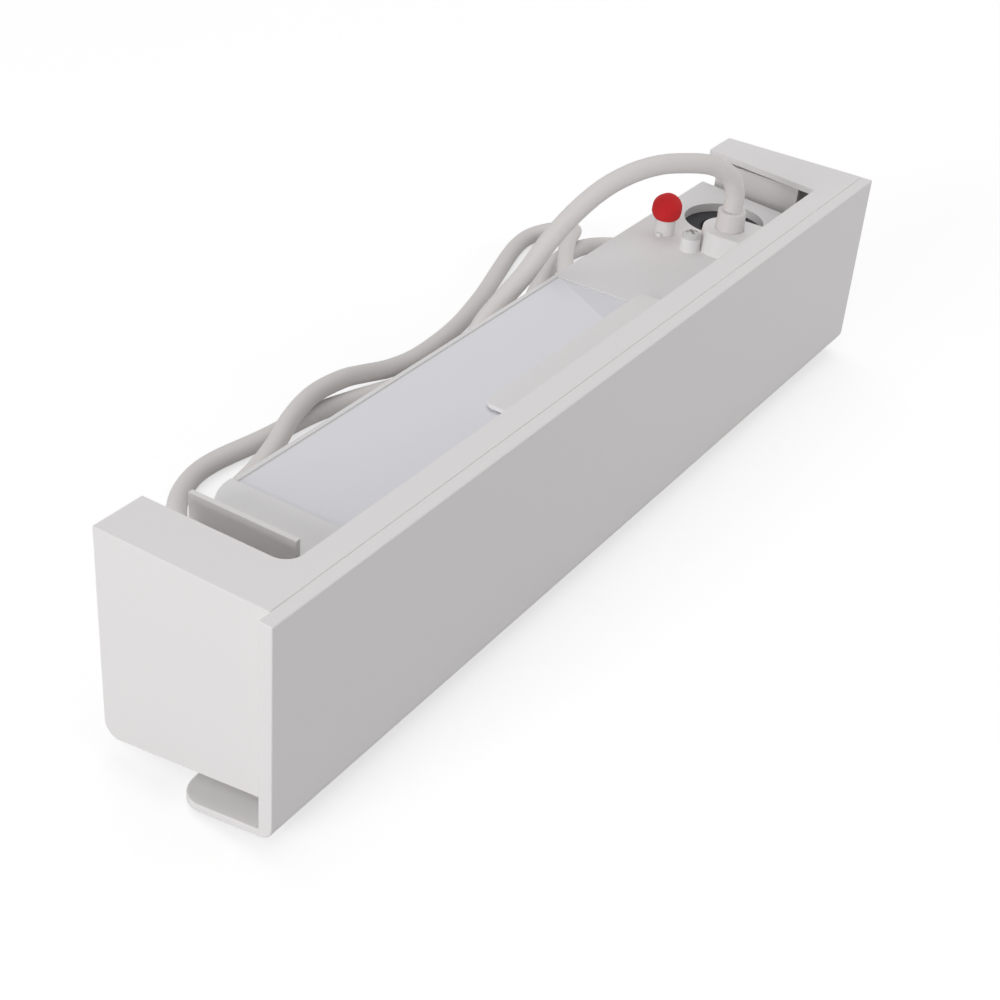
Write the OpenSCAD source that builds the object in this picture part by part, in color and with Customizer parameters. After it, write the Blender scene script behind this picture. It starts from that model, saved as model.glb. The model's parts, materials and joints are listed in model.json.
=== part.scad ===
// Condensate pump for a small split air conditioner, in its wall bracket under a slide-on cover.
// X runs along the cover, -Y is the front and +Y the wall, Z is up.
// The origin is on the standing surface, under the middle of the cover's outline.

/* [Cover] */
// Overall length of the cover
cover_l = 300; // [280:1:340]
// Overall depth from the front face to the wall
cover_d = 51.5; // [50:0.5:60]
// Overall height from the standing edge to the top face
cover_h = 62; // [60:1:80]
// Wall thickness of the cover body
cover_wall = 2; // [1.5:0.1:2.5]
// Thickness of the front fascia
fascia_t = 3.8; // [3:0.1:4.5]
// Distance that the left end wall stands in from the end of the fascia
end_inset = 3.7; // [2:0.1:6]
// Width of the top face at the left end
left_bar_w = 15.2; // [12:0.1:20]
// Width of the top face at the right end, at its front
right_bar_w = 20.8; // [18:0.1:24]
// Width of the top face along the front, fascia included
front_bar_w = 11; // [9:0.1:12]
// Radius in the left corner of the top opening
opening_r = 4.5; // [2:0.1:6]
// Length of the lip that runs back under the pump
lip_l = 28.5; // [20:0.1:30]
// Thickness of the lip
lip_t = 2; // [1.5:0.1:2.5]
// Height of the fascia's lower bend above the lip's back edge
lip_rise = 3.9; // [2:0.1:5]
// Outer radius of the fascia's lower bend
bend_r = 4; // [3.9:0.1:5]
// Radius of the lip's two back corners
lip_corner_r = 8; // [4:0.5:12]
// Height of the end wall's lower edge at its front
end_foot_front = 11.2; // [9:0.1:14]
// Height of the end wall's lower edge at the wall
end_foot_back = 5; // [4:0.1:8]
// Radius of the end wall's lower back corner
end_foot_r = 4; // [2:0.1:6]
// Length of the hold-down tongue
tongue_l = 81; // [40:1:100]
// Distance of the tongue's middle to the right of the cover's middle
tongue_off = 3.6; // [-20:0.1:20]
// Reach of the tongue behind the front face
tongue_reach = 25; // [20:0.1:30]
// Thickness of the tongue
tongue_t = 1.2; // [1:0.1:2]
// How far the cover slides off toward the front
cover_travel = 70; // [30:1:90]

/* [Wall bracket] */
// Thickness of the bracket's back plate, shelf and tabs
bracket_t = 1.5; // [1:0.1:2]
// Height of the bracket's back plate
bracket_h = 47; // [40:0.5:47.5]
// Depth of the bracket's bottom shelf
shelf_d = 21; // [16:0.5:22]
// Height of the end tabs above the standing surface
tab_h = 58.5; // [54:0.1:59.5]
// Depth of the end tabs in front of the wall
tab_d = 33.4; // [20:0.1:36]
// Width of the ears that carry the wall screws
ear_w = 8.5; // [8:0.1:9]
// Distance of the right tab from the lid's right end, at the wall
tab_gap_r = 4.3; // [3:0.1:4.8]
// Diameter of the wall screw holes
screw_hole_d = 4.5; // [3.5:0.1:5]
// Height of the wall screw holes
screw_hole_z = 30; // [20:0.5:38]
// Diameter of the rubber isolation pads
pad_d = 10; // [6:0.5:12]

/* [Pump casing] */
// Distance of the lid's left end from the cover's left end
lid_gap_l = 32; // [30:0.5:34]
// Distance of the lid's right end from the cover's right end, at the wall
lid_gap_r = 17; // [16:0.5:20]
// Depth of the lid
lid_d = 44.2; // [40:0.1:44.5]
// Height of the lid's right-hand face above the standing surface
lid_z = 52; // [50:0.5:54]
// Thickness of the lid
lid_t = 2.2; // [1.6:0.1:2.6]
// Depth of the lid's skirt
lid_skirt = 4; // [3:0.1:4.3]
// Width by which the lid stands over the casing
lid_over = 1.2; // [0.8:0.1:1.5]
// Height of the raised left end of the lid
lid_left_rise = 0.6; // [0.3:0.1:1]
// Length of the raised left end of the lid
lid_left_l = 15.2; // [12:0.1:20]
// Depth of the label recess
recess_deep = 0.5; // [0.3:0.1:0.8]
// Distance of the inlet's centre from the right end of the label recess
label_gap = 70; // [60:0.1:90]
// Radius of the lid's back left corner
lid_corner_r = 15; // [6:0.5:18]
// Wall thickness of the casing
casing_wall = 2.2; // [1.8:0.1:2.6]
// Height of the casing's underside above the standing surface
casing_z = 7; // [6.8:0.1:8]
// Thickness of the rating label
label_t = 0.2; // [0.1:0.05:0.4]

/* [Inlet and reservoir] */
// Diameter of the inlet hole in the lid
inlet_d = 24.8; // [22:0.1:25.2]
// Distance of the inlet's centre from the lid's right end
inlet_from_right = 23; // [20:0.1:26]
// Distance of the inlet's centre in front of the wall
inlet_from_wall = 20; // [18:0.1:22]
// Diameter of the hole in the rubber inlet seal
seal_hole_d = 14; // [12:0.5:16]
// Thickness of the inlet seal
seal_t = 2.4; // [1.5:0.1:3]
// Depth of the filter basket
filter_h = 10; // [8:0.5:12]
// Diameter of the float
float_d = 20; // [16:0.5:21]
// Height of the float
float_h = 9; // [7:0.5:10]
// Diameter of the float's guide stem
stem_d = 5; // [4:0.1:6]
// Running clearance between the float and its stem
float_gap = 0.08; // [0.02:0.01:0.1]
// How far the float rises
float_travel = 8; // [4:0.5:10]

/* [Gland, spigot and screw] */
// Radius of the gland boss
gland_r = 8; // [7:0.1:9]
// Height of the gland boss above the lid
gland_h = 6.7; // [5:0.1:8]
// Diameter of the cable collar at its foot
collar_d = 8.7; // [8:0.1:9.4]
// Height of the cable collar above the gland boss
collar_h = 5.9; // [4:0.1:7]
// Diameter of the power cord
cord_d = 5.9; // [5:0.1:6.5]
// Diameter of the discharge spigot
spigot_d = 6.4; // [6:0.1:7]
// Bore of the discharge spigot
spigot_bore = 3.6; // [3:0.1:4]
// Height of the discharge spigot above the lid
spigot_h = 9; // [8:0.1:10]
// Diameter of the spigot cap
cap_d = 10; // [9:0.1:11]
// Travel of the cap when it is pulled off
cap_travel = 12; // [9:0.5:15]
// Diameter of the lid screw's head
screw_head_d = 5.7; // [5:0.1:6]
// Height of the lid screw's head
screw_head_h = 2; // [1.5:0.1:2.5]
// Height of the screw boss above the lid
screw_boss_h = 4.2; // [3:0.1:5]

/* [Pump mechanism] */
// Inner diameter of the pump barrel
barrel_bore = 8; // [6:0.1:9]
// Wall thickness of the pump barrel
barrel_wall = 1; // [0.8:0.1:1.4]
// Length of the pump barrel
barrel_l = 62; // [54:1:66]
// Length of the piston
piston_l = 22; // [18:0.5:26]
// Running clearance between the piston and the barrel
piston_gap = 0.05; // [0.02:0.01:0.1]
// Stroke of the piston to each side of its middle
piston_stroke = 2; // [1:0.1:3]
// Length of the coil between its flanges
coil_l = 30; // [24:0.5:32]
// Outer diameter of the coil winding
coil_d = 24; // [18:0.5:25]
// Thickness of the steel yoke round the coil
yoke_t = 1.8; // [1.2:0.1:2.4]
// Diameter of the valve blocks
valve_d = 15; // [12:0.5:16]
// Length of the valve blocks
valve_l = 13; // [10:0.5:14]
// Bore of the valve blocks and tubes
water_bore = 3; // [2:0.1:3.5]
// Outer diameter of the suction and discharge tubes
tube_d = 5; // [4.5:0.1:6]
// Wire diameter of the two springs
spring_wire = 0.8; // [0.5:0.1:1]
// Number of turns of each spring
spring_turns = 5; // [4:1:6]

/* [Electronics] */
// Distance between the control board and the discharge tube
board_gap = 6; // [4:0.5:30]
// Thickness of the control board
board_t = 1.6; // [1:0.1:2]
// Height of the board's posts
board_post_h = 5; // [3:0.5:8]

/* [Hidden] */

// overrun of cuts, small clearances and how finely curves are drawn
over = 1;
seat = 0.3;
lift = 0.5;
round_fn = 64;
small_fn = 32;
wire_fn = 8;

// lean of the right-hand inner edges and of the right tab, in x for each unit of y
lean_share = 0.175;
tab_lean_share = 0.093;

// faces of the cover
left = -cover_l / 2;
right = cover_l / 2;
front = -cover_d / 2;
wall_y = cover_d / 2;
body_left = left + end_inset;
body_front = front + fascia_t;
inner_front = body_front + cover_wall;
opening_left = left + left_bar_w + end_inset;
opening_front = front + front_bar_w;
opening_right = right - right_bar_w;
opening_back_x = opening_right + lean_share * (wall_y - opening_front);
lip_back = front + lip_l;

// faces of the bracket, the lid and the casing
plate_y = wall_y - bracket_t;
lid_x0 = left + lid_gap_l;
lid_x1 = right - lid_gap_r;
lid_y1 = wall_y - lift;
lid_y0 = lid_y1 - lid_d;
lid_under = lid_z - lid_t - recess_deep;
skirt_z = lid_z - lid_skirt;
casing_x0 = lid_x0 + lid_over;
casing_y0 = lid_y0 + lid_over;
casing_y1 = plate_y - seat;
casing_top = lid_under;
floor_z = casing_z + casing_wall;
tab_x0 = lid_x0 - lift - bracket_t;
ear_left = tab_x0 - ear_w;
tab_front = wall_y - tab_d;
function lean(x_back, y) = x_back - lean_share * (lid_y1 - y);
tab_x1 = lid_x1 + tab_gap_r;
ear_right = tab_x1 + bracket_t + ear_w;
shelf_y = wall_y - shelf_d;
tab_foot = lip_rise + lip_t + seat;
function tab_lean(y) = tab_x1 - tab_lean_share * (wall_y - y);

// the tongue lies a little above the highest face that it passes
tongue_z = lid_z + seat;
tongue_x = tongue_off;

// ribs on the lip, pads below the casing and small features of the lid and cover
rib_shares = [-0.34, 0, 0.34];
rib_t = 1.6;
right_rib_off = 0.4;
right_rib_l = 5;
pad_shares = [0.08, 0.36, 0.64, 0.92];
gland_foot_share = 0.35;
slot_share = 0.62;
cap_rim_share = 0.35;
slot_w = 0.9;

// places on the lid, from the inlet's centre
gland_off = [-18.8, -10.45];
spigot_off = [-21.6, 9.7];
screw_off = [-27.3, -2.2];
inlet = [lid_x1 - inlet_from_right, wall_y - inlet_from_wall];
gland = inlet + gland_off;
spigot = inlet + spigot_off;
screw = inlet + screw_off;
gland_z = lid_z + gland_h;
gland_flare = 1;
collar_z = gland_z + collar_h;
collar_gap = 0.1;
collar_taper = 0.15;
neck_l = 3;
screw_z = lid_z + screw_boss_h;
screw_boss_r = screw_head_d / 2 + collar_gap;
shank_d = 2.5;
cap_mid_z = lid_z + spigot_h - lift - lift;
cap_rim_z = cap_mid_z - cap_d * cap_rim_share;

// reservoir, float and filter
divider_t = 1.8;
res_x1 = lid_x1 - lid_over - casing_wall;
seal_rim = 0.8;
divider_x = inlet[0] - inlet_d / 2 - seal_rim - seat;
seal_z = lid_under - seal_t;
filter_wall = 1;
slot_turn = 45;
stem_flange_h = 2;
stem_flange_d = stem_d * 2;
float_z = floor_z + stem_flange_h + seat;
stem_cap_z = float_z + float_h + float_travel + seat;
stem_cap_h = 1.5;
sensor_d = stem_d / 2;
snug = 0.05;
magnet_in = stem_d / 2 + filter_wall;
magnet_t = 1.8;
magnet_h = 3;
magnet_deep = 4;

// pump mechanism, on one axis along X that the yoke sets
barrel_r = barrel_bore / 2 + barrel_wall;
flange_t = 1.5;
flange_r = coil_d / 2 + lift;
yoke_half = flange_r + yoke_t;
pump_y = casing_y0 + casing_wall + lift + yoke_half;
pump_z = floor_z + yoke_half;
socket_l = 4;
tube_gap = 5;
in_x1 = divider_x - divider_t - tube_gap;
in_x0 = in_x1 - valve_l;
barrel_x1 = in_x0 + socket_l;
barrel_x0 = barrel_x1 - barrel_l;
out_x1 = barrel_x0 + socket_l;
out_x0 = out_x1 - valve_l;
pump_mid = (barrel_x0 + barrel_x1) / 2;
coil_x0 = pump_mid - coil_l / 2;
disc_r = water_bore;
disc_t = 1;
chamber_r = disc_r + seat;
ring_r = 0.9;
web_t = 1;
groove_lip = 0.2;
spring_r = barrel_bore / 2 - spring_wire / 2 - seat;
spring_l = (barrel_l - piston_l) / 2;
spring_steps = 14;
chamber_l = 3;
yoke_w = 24;
cutout = [12, 6, 4];
boss_l = 12;

// electronics
board_x0 = casing_x0 + casing_wall + board_post_h;
turn_x = out_x0 - tube_d - web_t;
board_l = turn_x - tube_d / 2 - board_gap - board_x0;
board_back = 2.5;
board_y0 = casing_y0 + casing_wall + divider_t;
board_d = casing_y1 - casing_wall - board_back - board_y0;
board_z = floor_z + board_post_h;
board_top = board_z + board_t;
post_r = 2.5;
terminal = [21, 8.5, 10];
transformer = [24, 20, 18];
transformer_at = [3, 12, 0];
relay = [14, 10, 14];
relay_at = [3, 1, 0];
chip = [10, 6, 3];
chip_at = [30, 24, 0];
capacitor_r = 2.8;
capacitor_h = 11;
capacitor_at = [20.2, 4.5, 0];
terminal_x0 = board_x0 + board_l - terminal[0] - socket_l;
terminal_y0 = gland[1] - terminal[1] / 2;
lead_d = 1.6;
lead_off = 0.9;
lead_step = 4.5;
lead_z = lid_under - neck_l - lead_d;

// route of the cord, from the collar up over the back and in loops on the standing surface
exit_pt = [gland[0], gland[1], collar_z];
cord_route = [
    exit_pt, [91.2, -4.7, 70.5], [89.7, -3.7, 74.6], [86.8, -1.7, 77.8], [82.8, 0.9, 80],
    [76, 5.5, 81.2], [68.9, 10.4, 81.4], [61.5, 15.4, 79.6], [54.3, 20.2, 75.7],
    [47.5, 24.8, 69.2], [41.3, 28.9, 61.1], [35, 32.4, 51.6], [28.2, 34.8, 45.6],
    [20, 36.2, 40], [8, 36.5, 28], [-6, 35.8, 15.6], [-20, 34.9, 7.6], [-36, 34.3, 3.8],
    [-54, 35, 3.1], [-69, 40.5, 3.1], [-76.5, 51.5, 3.1], [-74.5, 66, 3.1], [-65.5, 77, 3.1],
    [-52.8, 83.6, 3.1], [-41.7, 84.9, 3.1], [-22.9, 82.1, 3.1], [-1.3, 80, 3.1], [14, 75.6, 3.1],
    [30, 70, 3.1], [50, 66, 3.1], [80, 64.8, 3.1], [100, 68.4, 3.1], [131.2, 78.9, 3.1],
    [148, 80.6, 3.1], [160, 77, 3.1], [167, 66, 3.1], [163.5, 54.5, 3.1], [152, 48, 3.1],
    [130, 46.2, 3.1], [60, 45, 3.1], [-52, 44, 3.1], [-59.6, 46, 3.1], [-64.8, 50.8, 3.1],
    [-66.4, 57, 3.1], [-64, 63, 3.1], [-58.6, 67.2, 3.4], [-50, 69.2, 4.4], [-39, 70.3, 6.2],
    [-28.6, 72.6, 7.9],
    [-15.4, 77.2, 9.3], [-1.3, 80.4, 9.6], [13.7, 80.4, 8.6], [23.1, 79.2, 6.8],
    [34, 77.6, 4.6], [48, 76.9, 3.2], [72, 78.9, 3.1], [96.8, 84.7, 3.1], [117.5, 91.3, 3.1],
    [136.7, 97.2, 3.1], [147.5, 99, 3.1], [153.8, 98, 3.3], [158.2, 94.6, 4.2], [159.6, 89.8, 5.7],
    [157.6, 85, 7.6], [152, 81.8, 9.4], [144, 79, 9.9], [133, 73.4, 8.8], [123, 67, 5.6],
    [113, 60.6, 3.4], [103, 56.6, 3.1], [92, 55.6, 3.1]];
cord_r = cord_d / 2;
cord_sides = 10;
ring_step = 3.2 * cord_d;
tail_l = 26;
tail_bare = 7;
tail_d = 1.8;
core_d = 0.9;
tail_off = 1.1;
tail_spread = 3;

// smooth curve through the route, with slopes that follow the spacing of its points
function leg(r, i) = norm(r[i + 1] - r[i]);
function slope(r, i) =
    i == 0 ? [0, 0, 1] : unit(r[min(i + 1, len(r) - 1)] - r[i - 1]);
function on_leg(r, i, t) =
    r[i] * (1 + 2 * t) * pow(1 - t, 2)
    + slope(r, i) * leg(r, i) * t * pow(1 - t, 2)
    + r[i + 1] * t * t * (3 - 2 * t)
    + slope(r, i + 1) * leg(r, i) * t * t * (t - 1);
function smooth_route(r, step) = concat(
    [for (i = [0 : len(r) - 2]) let (n = max(1, round(leg(r, i) / step)))
        for (k = [0 : n - 1]) on_leg(r, i, k / n)],
    [r[len(r) - 1]]);
function unit(v) = v / norm(v);
function tangent(p, i) = unit(p[min(i + 1, len(p) - 1)] - p[max(i - 1, 0)]);
function square_to(v, t) = unit(v - t * (v * t));
function normals(p, start) = [
    for (i = 0, n = square_to(start, tangent(p, 0)); i < len(p);
        i = i + 1, n = square_to(n, tangent(p, min(i, len(p) - 1)))) n];
function ring(c, t, n, r, sides) = [
    for (k = [0 : sides - 1]) let (a = 360 * k / sides)
        c + r * (n * cos(a) + cross(t, n) * sin(a))];

// one closed tube along the points, with end rings square to the first and last stretch
module sweep_tube(p, start, r, sides) {
    n = normals(p, start);
    rings = [for (i = [0 : len(p) - 1]) each ring(p[i], tangent(p, i), n[i], r, sides)];
    last = (len(p) - 1) * sides;
    polyhedron(rings, concat(
        [[for (k = [0 : sides - 1]) k]],
        [for (i = [0 : len(p) - 2]) for (k = [0 : sides - 1]) let (m = (k + 1) % sides)
            [i * sides + k, i * sides + sides + k, i * sides + m]],
        [for (i = [0 : len(p) - 2]) for (k = [0 : sides - 1]) let (m = (k + 1) % sides)
            [i * sides + m, i * sides + sides + k, i * sides + sides + m]],
        [[for (k = [sides - 1 : -1 : 0]) last + k]]));
}

// block between two opposite corners
module slab(a, b) {
    translate(a) cube(b - a);
}

// upright round piece between two heights
module post(c, z0, z1, r0, r1, fn = round_fn) {
    translate([c[0], c[1], z0]) cylinder(h = z1 - z0, r1 = r0, r2 = r1, $fn = fn);
}

// round bar along X on the pump's axis
module on_axis(x0, x1, r, fn = round_fn) {
    translate([x0, pump_y, pump_z]) rotate([0, 90, 0]) cylinder(h = x1 - x0, r = r, $fn = fn);
}

// round bar between two points
module rod(a, b, r, fn = small_fn) {
    d = b - a;
    translate(a) rotate([0, acos(d[2] / norm(d)), atan2(d[1], d[0])])
        cylinder(h = norm(d), r = r, $fn = fn);
}

// bars along a list of points, with round corners
module run(p, r, fn = small_fn) {
    for (i = [0 : len(p) - 2]) rod(p[i], p[i + 1], r, fn);
    for (i = [1 : len(p) - 2]) translate(p[i]) sphere(r = r, $fn = fn);
}

// profile in the YZ plane, drawn out along X
module along_x(x0, x1) {
    translate([x0, 0, 0]) rotate([90, 0, 90]) linear_extrude(x1 - x0) children();
}

// flat plate with rounded back corners
module plate_2d(x0, x1, y0, y1, r) {
    translate([x0, y0]) square([x1 - x0, y1 - y0 - r]);
    translate([x0 + r, y0]) square([x1 - x0 - 2 * r, y1 - y0]);
    translate([x0 + r, y1 - r]) circle(r = r, $fn = round_fn);
    translate([x1 - r, y1 - r]) circle(r = r, $fn = round_fn);
}

// points of an arc about a centre
function arc(c, r, a0, a1, n = 8) = [
    for (k = [0 : n]) let (a = a0 + (a1 - a0) * k / n) c + r * [cos(a), sin(a)]];

// plan of the lid or of the casing, with the leaning right end and the round back left corner
module pump_plan(x0, x1, y0, y1, r) {
    polygon(concat(
        [[x0, y0], [lean(x1, y0), y0], [lean(x1, y1), y1]],
        arc([x0 + r, y1 - r], r, 90, 180)));
}

// height of the lip's underside and of its top, from front to back
function lip_foot(y) = lip_rise * (lip_back - y) / (lip_back - front - bend_r);
function lip_top(y) = lip_foot(y) + lip_t;

module cover_body() {
    color("white") difference() {
        union() {
            difference() {
                along_x(body_left, right) polygon(concat(
                    [[body_front, cover_h], [body_front, end_foot_front]],
                    arc([wall_y - end_foot_r, end_foot_back + end_foot_r], end_foot_r, -90, 0),
                    [[wall_y, cover_h]]));
                slab([body_left + cover_wall, inner_front, -over],
                    [right - cover_wall, wall_y + over, cover_h - cover_wall]);
            }
            translate([0, 0, tongue_z]) linear_extrude(tongue_t) plate_2d(
                tongue_x - tongue_l / 2, tongue_x + tongue_l / 2,
                body_front + cover_wall / 2, front + tongue_reach, lip_t + over);
            slab([opening_back_x + right_rib_off, wall_y - right_rib_l, tab_h + seat],
                [opening_back_x + right_rib_off + cover_wall, wall_y,
                    cover_h - cover_wall / 2]);
        }
        translate([0, 0, cover_h - cover_wall - over]) linear_extrude(cover_wall + 2 * over)
            polygon(concat(
                arc([opening_left + opening_r, opening_front + opening_r], opening_r, 180, 270),
                [[opening_right, opening_front],
                    [opening_right + lean_share * (wall_y + over - opening_front), wall_y + over],
                    [opening_left, wall_y + over]]));
    }
}

module front_fascia() {
    inner_z = lip_top(body_front);
    color("white") {
        intersection() {
            along_x(left, right) polygon(concat(
                [[front, cover_h]],
                arc([front + bend_r, lip_rise + bend_r], bend_r, 180, 260),
                [[lip_back, 0], [lip_back, lip_t], [body_front, inner_z], [body_front, cover_h]]));
            translate([0, 0, -over]) linear_extrude(cover_h + 2 * over)
                plate_2d(left, right, front - over, lip_back, lip_corner_r);
        }
        for (s = rib_shares) along_x(s * cover_l - rib_t / 2, s * cover_l + rib_t / 2)
            polygon([[body_front, inner_z - lip_t / 2], [lip_back - lip_t, lip_t / 2],
                [lip_back - lip_t, casing_z - seat], [body_front, casing_z - seat]]);
    }
}

module wall_bracket() {
    color("whitesmoke") difference() {
        union() {
            slab([ear_left, plate_y, 0], [ear_right, wall_y, bracket_h]);
            slab([tab_x0, shelf_y, 0], [tab_x1, wall_y, bracket_t]);
            slab([tab_x0, shelf_y, 0], [tab_x0 + bracket_t, wall_y, bracket_h]);
            slab([tab_x0, tab_front, tab_foot],
                [tab_x0 + bracket_t, plate_y - bracket_t, tab_h]);
            linear_extrude(bracket_h) right_tab_2d(shelf_y, wall_y);
            translate([0, 0, tab_foot]) linear_extrude(tab_h - tab_foot)
                right_tab_2d(tab_front, plate_y - bracket_t);
        }
        for (x = [ear_left + ear_w / 2, ear_right - ear_w / 2])
            translate([x, plate_y - over, screw_hole_z]) rotate([-90, 0, 0])
                cylinder(h = bracket_t + 2 * over, d = screw_hole_d, $fn = round_fn);
    }
}

// plan of the right tab between two depths, with its lean
module right_tab_2d(y0, y1) {
    polygon([[tab_lean(y0), y0], [tab_lean(y0) + bracket_t, y0], [tab_lean(y1) + bracket_t, y1],
        [tab_lean(y1), y1]]);
}

module isolation_pads() {
    color("dimgray") for (s = pad_shares)
        post([lid_x0 + s * (lid_x1 - lid_x0), shelf_y + shelf_d / 2 - bracket_t], bracket_t, casing_z,
            pad_d / 2, pad_d / 2);
}

module pump_casing() {
    color("white") difference() {
        union() {
            difference() {
                translate([0, 0, casing_z]) linear_extrude(casing_top - casing_z)
                    pump_plan(casing_x0, lid_x1 - lid_over, casing_y0, casing_y1,
                        lid_corner_r - lid_over);
                translate([0, 0, floor_z]) linear_extrude(casing_top)
                    pump_plan(casing_x0 + casing_wall, res_x1, casing_y0 + casing_wall,
                        casing_y1 - casing_wall, lid_corner_r - lid_over - casing_wall);
            }
            slab([divider_x - divider_t, casing_y0 + casing_wall / 2, casing_z + casing_wall / 2],
                [divider_x, casing_y1 - casing_wall / 2, casing_top]);
            post(screw, casing_top - boss_l, casing_top, shank_d, shank_d);
            slab([screw[0], screw[1] - web_t, casing_top - boss_l],
                [divider_x - divider_t / 2, screw[1] + web_t, casing_top]);
            for (x = [board_x0 + post_r, board_x0 + board_l - post_r],
                y = [board_y0 + post_r, board_y0 + board_d - post_r])
                post([x, y], floor_z - web_t, board_z, post_r, post_r, small_fn);
        }
        rod([divider_x - divider_t - over, pump_y, pump_z], [divider_x + over, pump_y, pump_z],
            tube_d / 2 + snug);
        post(screw, casing_top - boss_l + web_t, casing_top + over, shank_d / 2, shank_d / 2);
    }
}

module casing_lid() {
    recess_x0 = lid_x0 + lid_left_l;
    color("white") difference() {
        union() {
            translate([0, 0, skirt_z]) linear_extrude(lid_skirt)
                pump_plan(lid_x0, lid_x1, lid_y0, lid_y1, lid_corner_r);
            translate([0, 0, lid_under]) linear_extrude(lid_z + lid_left_rise - lid_under)
                intersection() {
                    pump_plan(lid_x0, lid_x1, lid_y0, lid_y1, lid_corner_r);
                    translate([lid_x0, lid_y0]) square([lid_left_l, lid_d]);
                }
            post(gland, lid_under, lid_z + gland_h * gland_foot_share, gland_r + gland_flare,
                gland_r + gland_flare / 2);
            post(gland, lid_z + gland_h * gland_foot_share, gland_z, gland_r + gland_flare / 2,
                gland_r);
            slab([gland[0] - gland_r, lid_y0 + lid_over, lid_under],
                [gland[0] + gland_r, gland[1], gland_z]);
            post(screw, lid_under, screw_z, screw_boss_r + collar_gap, screw_boss_r);
            post(spigot + [-spigot_d / 2, 0], lid_under, lid_z + web_t, web_t, web_t, small_fn);
        }
        translate([0, 0, skirt_z - over]) linear_extrude(lid_under - skirt_z + over)
            pump_plan(casing_x0, lid_x1 - lid_over, casing_y0, casing_y1,
                lid_corner_r - lid_over);
        slab([recess_x0, lid_y0 + lid_over, lid_z - recess_deep],
            [inlet[0] - label_gap, lid_y1 - lid_over, lid_z + over]);
        post(inlet, lid_under - over, lid_z + over, inlet_d / 2, inlet_d / 2);
        post(gland, lid_under - over, gland_z + over, collar_d / 2 + collar_gap,
            collar_d / 2 + collar_gap);
        post(spigot, lid_under - over, lid_z + 2 * over, spigot_d / 2, spigot_d / 2);
        post(screw, lid_under - over, screw_z + over, shank_d / 2, shank_d / 2);
    }
}

module rating_label() {
    recess_x0 = lid_x0 + lid_left_l;
    color("aliceblue") slab([recess_x0 + seat, lid_y0 + lid_over + seat, lid_z - recess_deep],
        [inlet[0] - label_gap - seat, lid_y1 - lid_over - lift,
            lid_z - recess_deep + label_t]);
}

module lid_screw() {
    head_top = screw_z + screw_head_h;
    color("silver") difference() {
        union() {
            post(screw, screw_z, head_top - screw_head_h / 2, screw_head_d / 2, screw_head_d / 2);
            post(screw, head_top - screw_head_h / 2, head_top, screw_head_d / 2,
                screw_head_d / 2 - screw_head_h / 2);
            post(screw, casing_top - boss_l + 2 * web_t, screw_z, shank_d / 2 - snug,
                shank_d / 2 - snug);
        }
        for (a = [45, -45]) translate([screw[0], screw[1], head_top]) rotate([0, 0, a])
            cube([screw_head_d * slot_share, slot_w, screw_head_h], center = true);
    }
}

module inlet_seal() {
    color("#222222") difference() {
        post(inlet, seal_z, lid_under, inlet_d / 2 + seal_rim, inlet_d / 2 + seal_rim);
        post(inlet, seal_z - over, lid_under + over, seal_hole_d / 2, seal_hole_d / 2);
    }
}

module inlet_filter() {
    r = seal_hole_d / 2 + lift;
    color("saddlebrown") difference() {
        union() {
            post(inlet, seal_z - filter_h, seal_z, r, r);
            post(inlet, seal_z - filter_wall, seal_z, r + 2 * filter_wall, r + 2 * filter_wall);
        }
        post(inlet, seal_z - filter_h + filter_wall, seal_z + over, r - filter_wall,
            r - filter_wall);
        for (a = [0 : slot_turn : 359]) translate([inlet[0], inlet[1], seal_z - filter_h / 2])
            rotate([0, 0, a]) translate([r, 0, 0])
                cube([2 * filter_wall + lift, 2 * filter_wall, filter_h / 2], center = true);
    }
}

module float_guide() {
    color("ivory") difference() {
        union() {
            post(inlet, floor_z, floor_z + stem_flange_h, stem_flange_d / 2, stem_flange_d / 2);
            post(inlet, floor_z, stem_cap_z, stem_d / 2, stem_d / 2);
            post(inlet, stem_cap_z, stem_cap_z + stem_cap_h, stem_d / 2 + web_t, stem_d / 2);
        }
        post(inlet, floor_z - over, stem_cap_z, sensor_d / 2 + snug, sensor_d / 2 + snug);
    }
}

module level_sensor() {
    color("darkgreen") post(inlet, floor_z, stem_cap_z - seat, sensor_d / 2, sensor_d / 2,
        small_fn);
}

module float_body() {
    bore_r = stem_d / 2 + float_gap;
    color("orange") difference() {
        post(inlet, float_z, float_z + float_h, float_d / 2, float_d / 2);
        post(inlet, float_z - over, float_z + float_h + over, bore_r, bore_r);
        difference() {
            post(inlet, float_z - over, float_z + magnet_deep, magnet_in + magnet_t + snug,
                magnet_in + magnet_t + snug);
            post(inlet, float_z - 2 * over, float_z + magnet_deep + over, magnet_in - snug,
                magnet_in - snug);
        }
    }
}

module float_magnet() {
    color("#333333") difference() {
        post(inlet, float_z + magnet_deep - magnet_h, float_z + magnet_deep,
            magnet_in + magnet_t, magnet_in + magnet_t);
        post(inlet, float_z - over, float_z + float_h, magnet_in, magnet_in);
    }
}

module pump_barrel() {
    color("silver") difference() {
        on_axis(barrel_x0, barrel_x1, barrel_r);
        on_axis(barrel_x0 - over, barrel_x1 + over, barrel_bore / 2);
    }
}

module piston() {
    r = barrel_bore / 2 - piston_gap;
    color("gray") difference() {
        on_axis(pump_mid - piston_l / 2, pump_mid + piston_l / 2, r);
        on_axis(pump_mid - piston_l / 2 - over, pump_mid + piston_l / 2 + over, water_bore / 2);
    }
}

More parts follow.
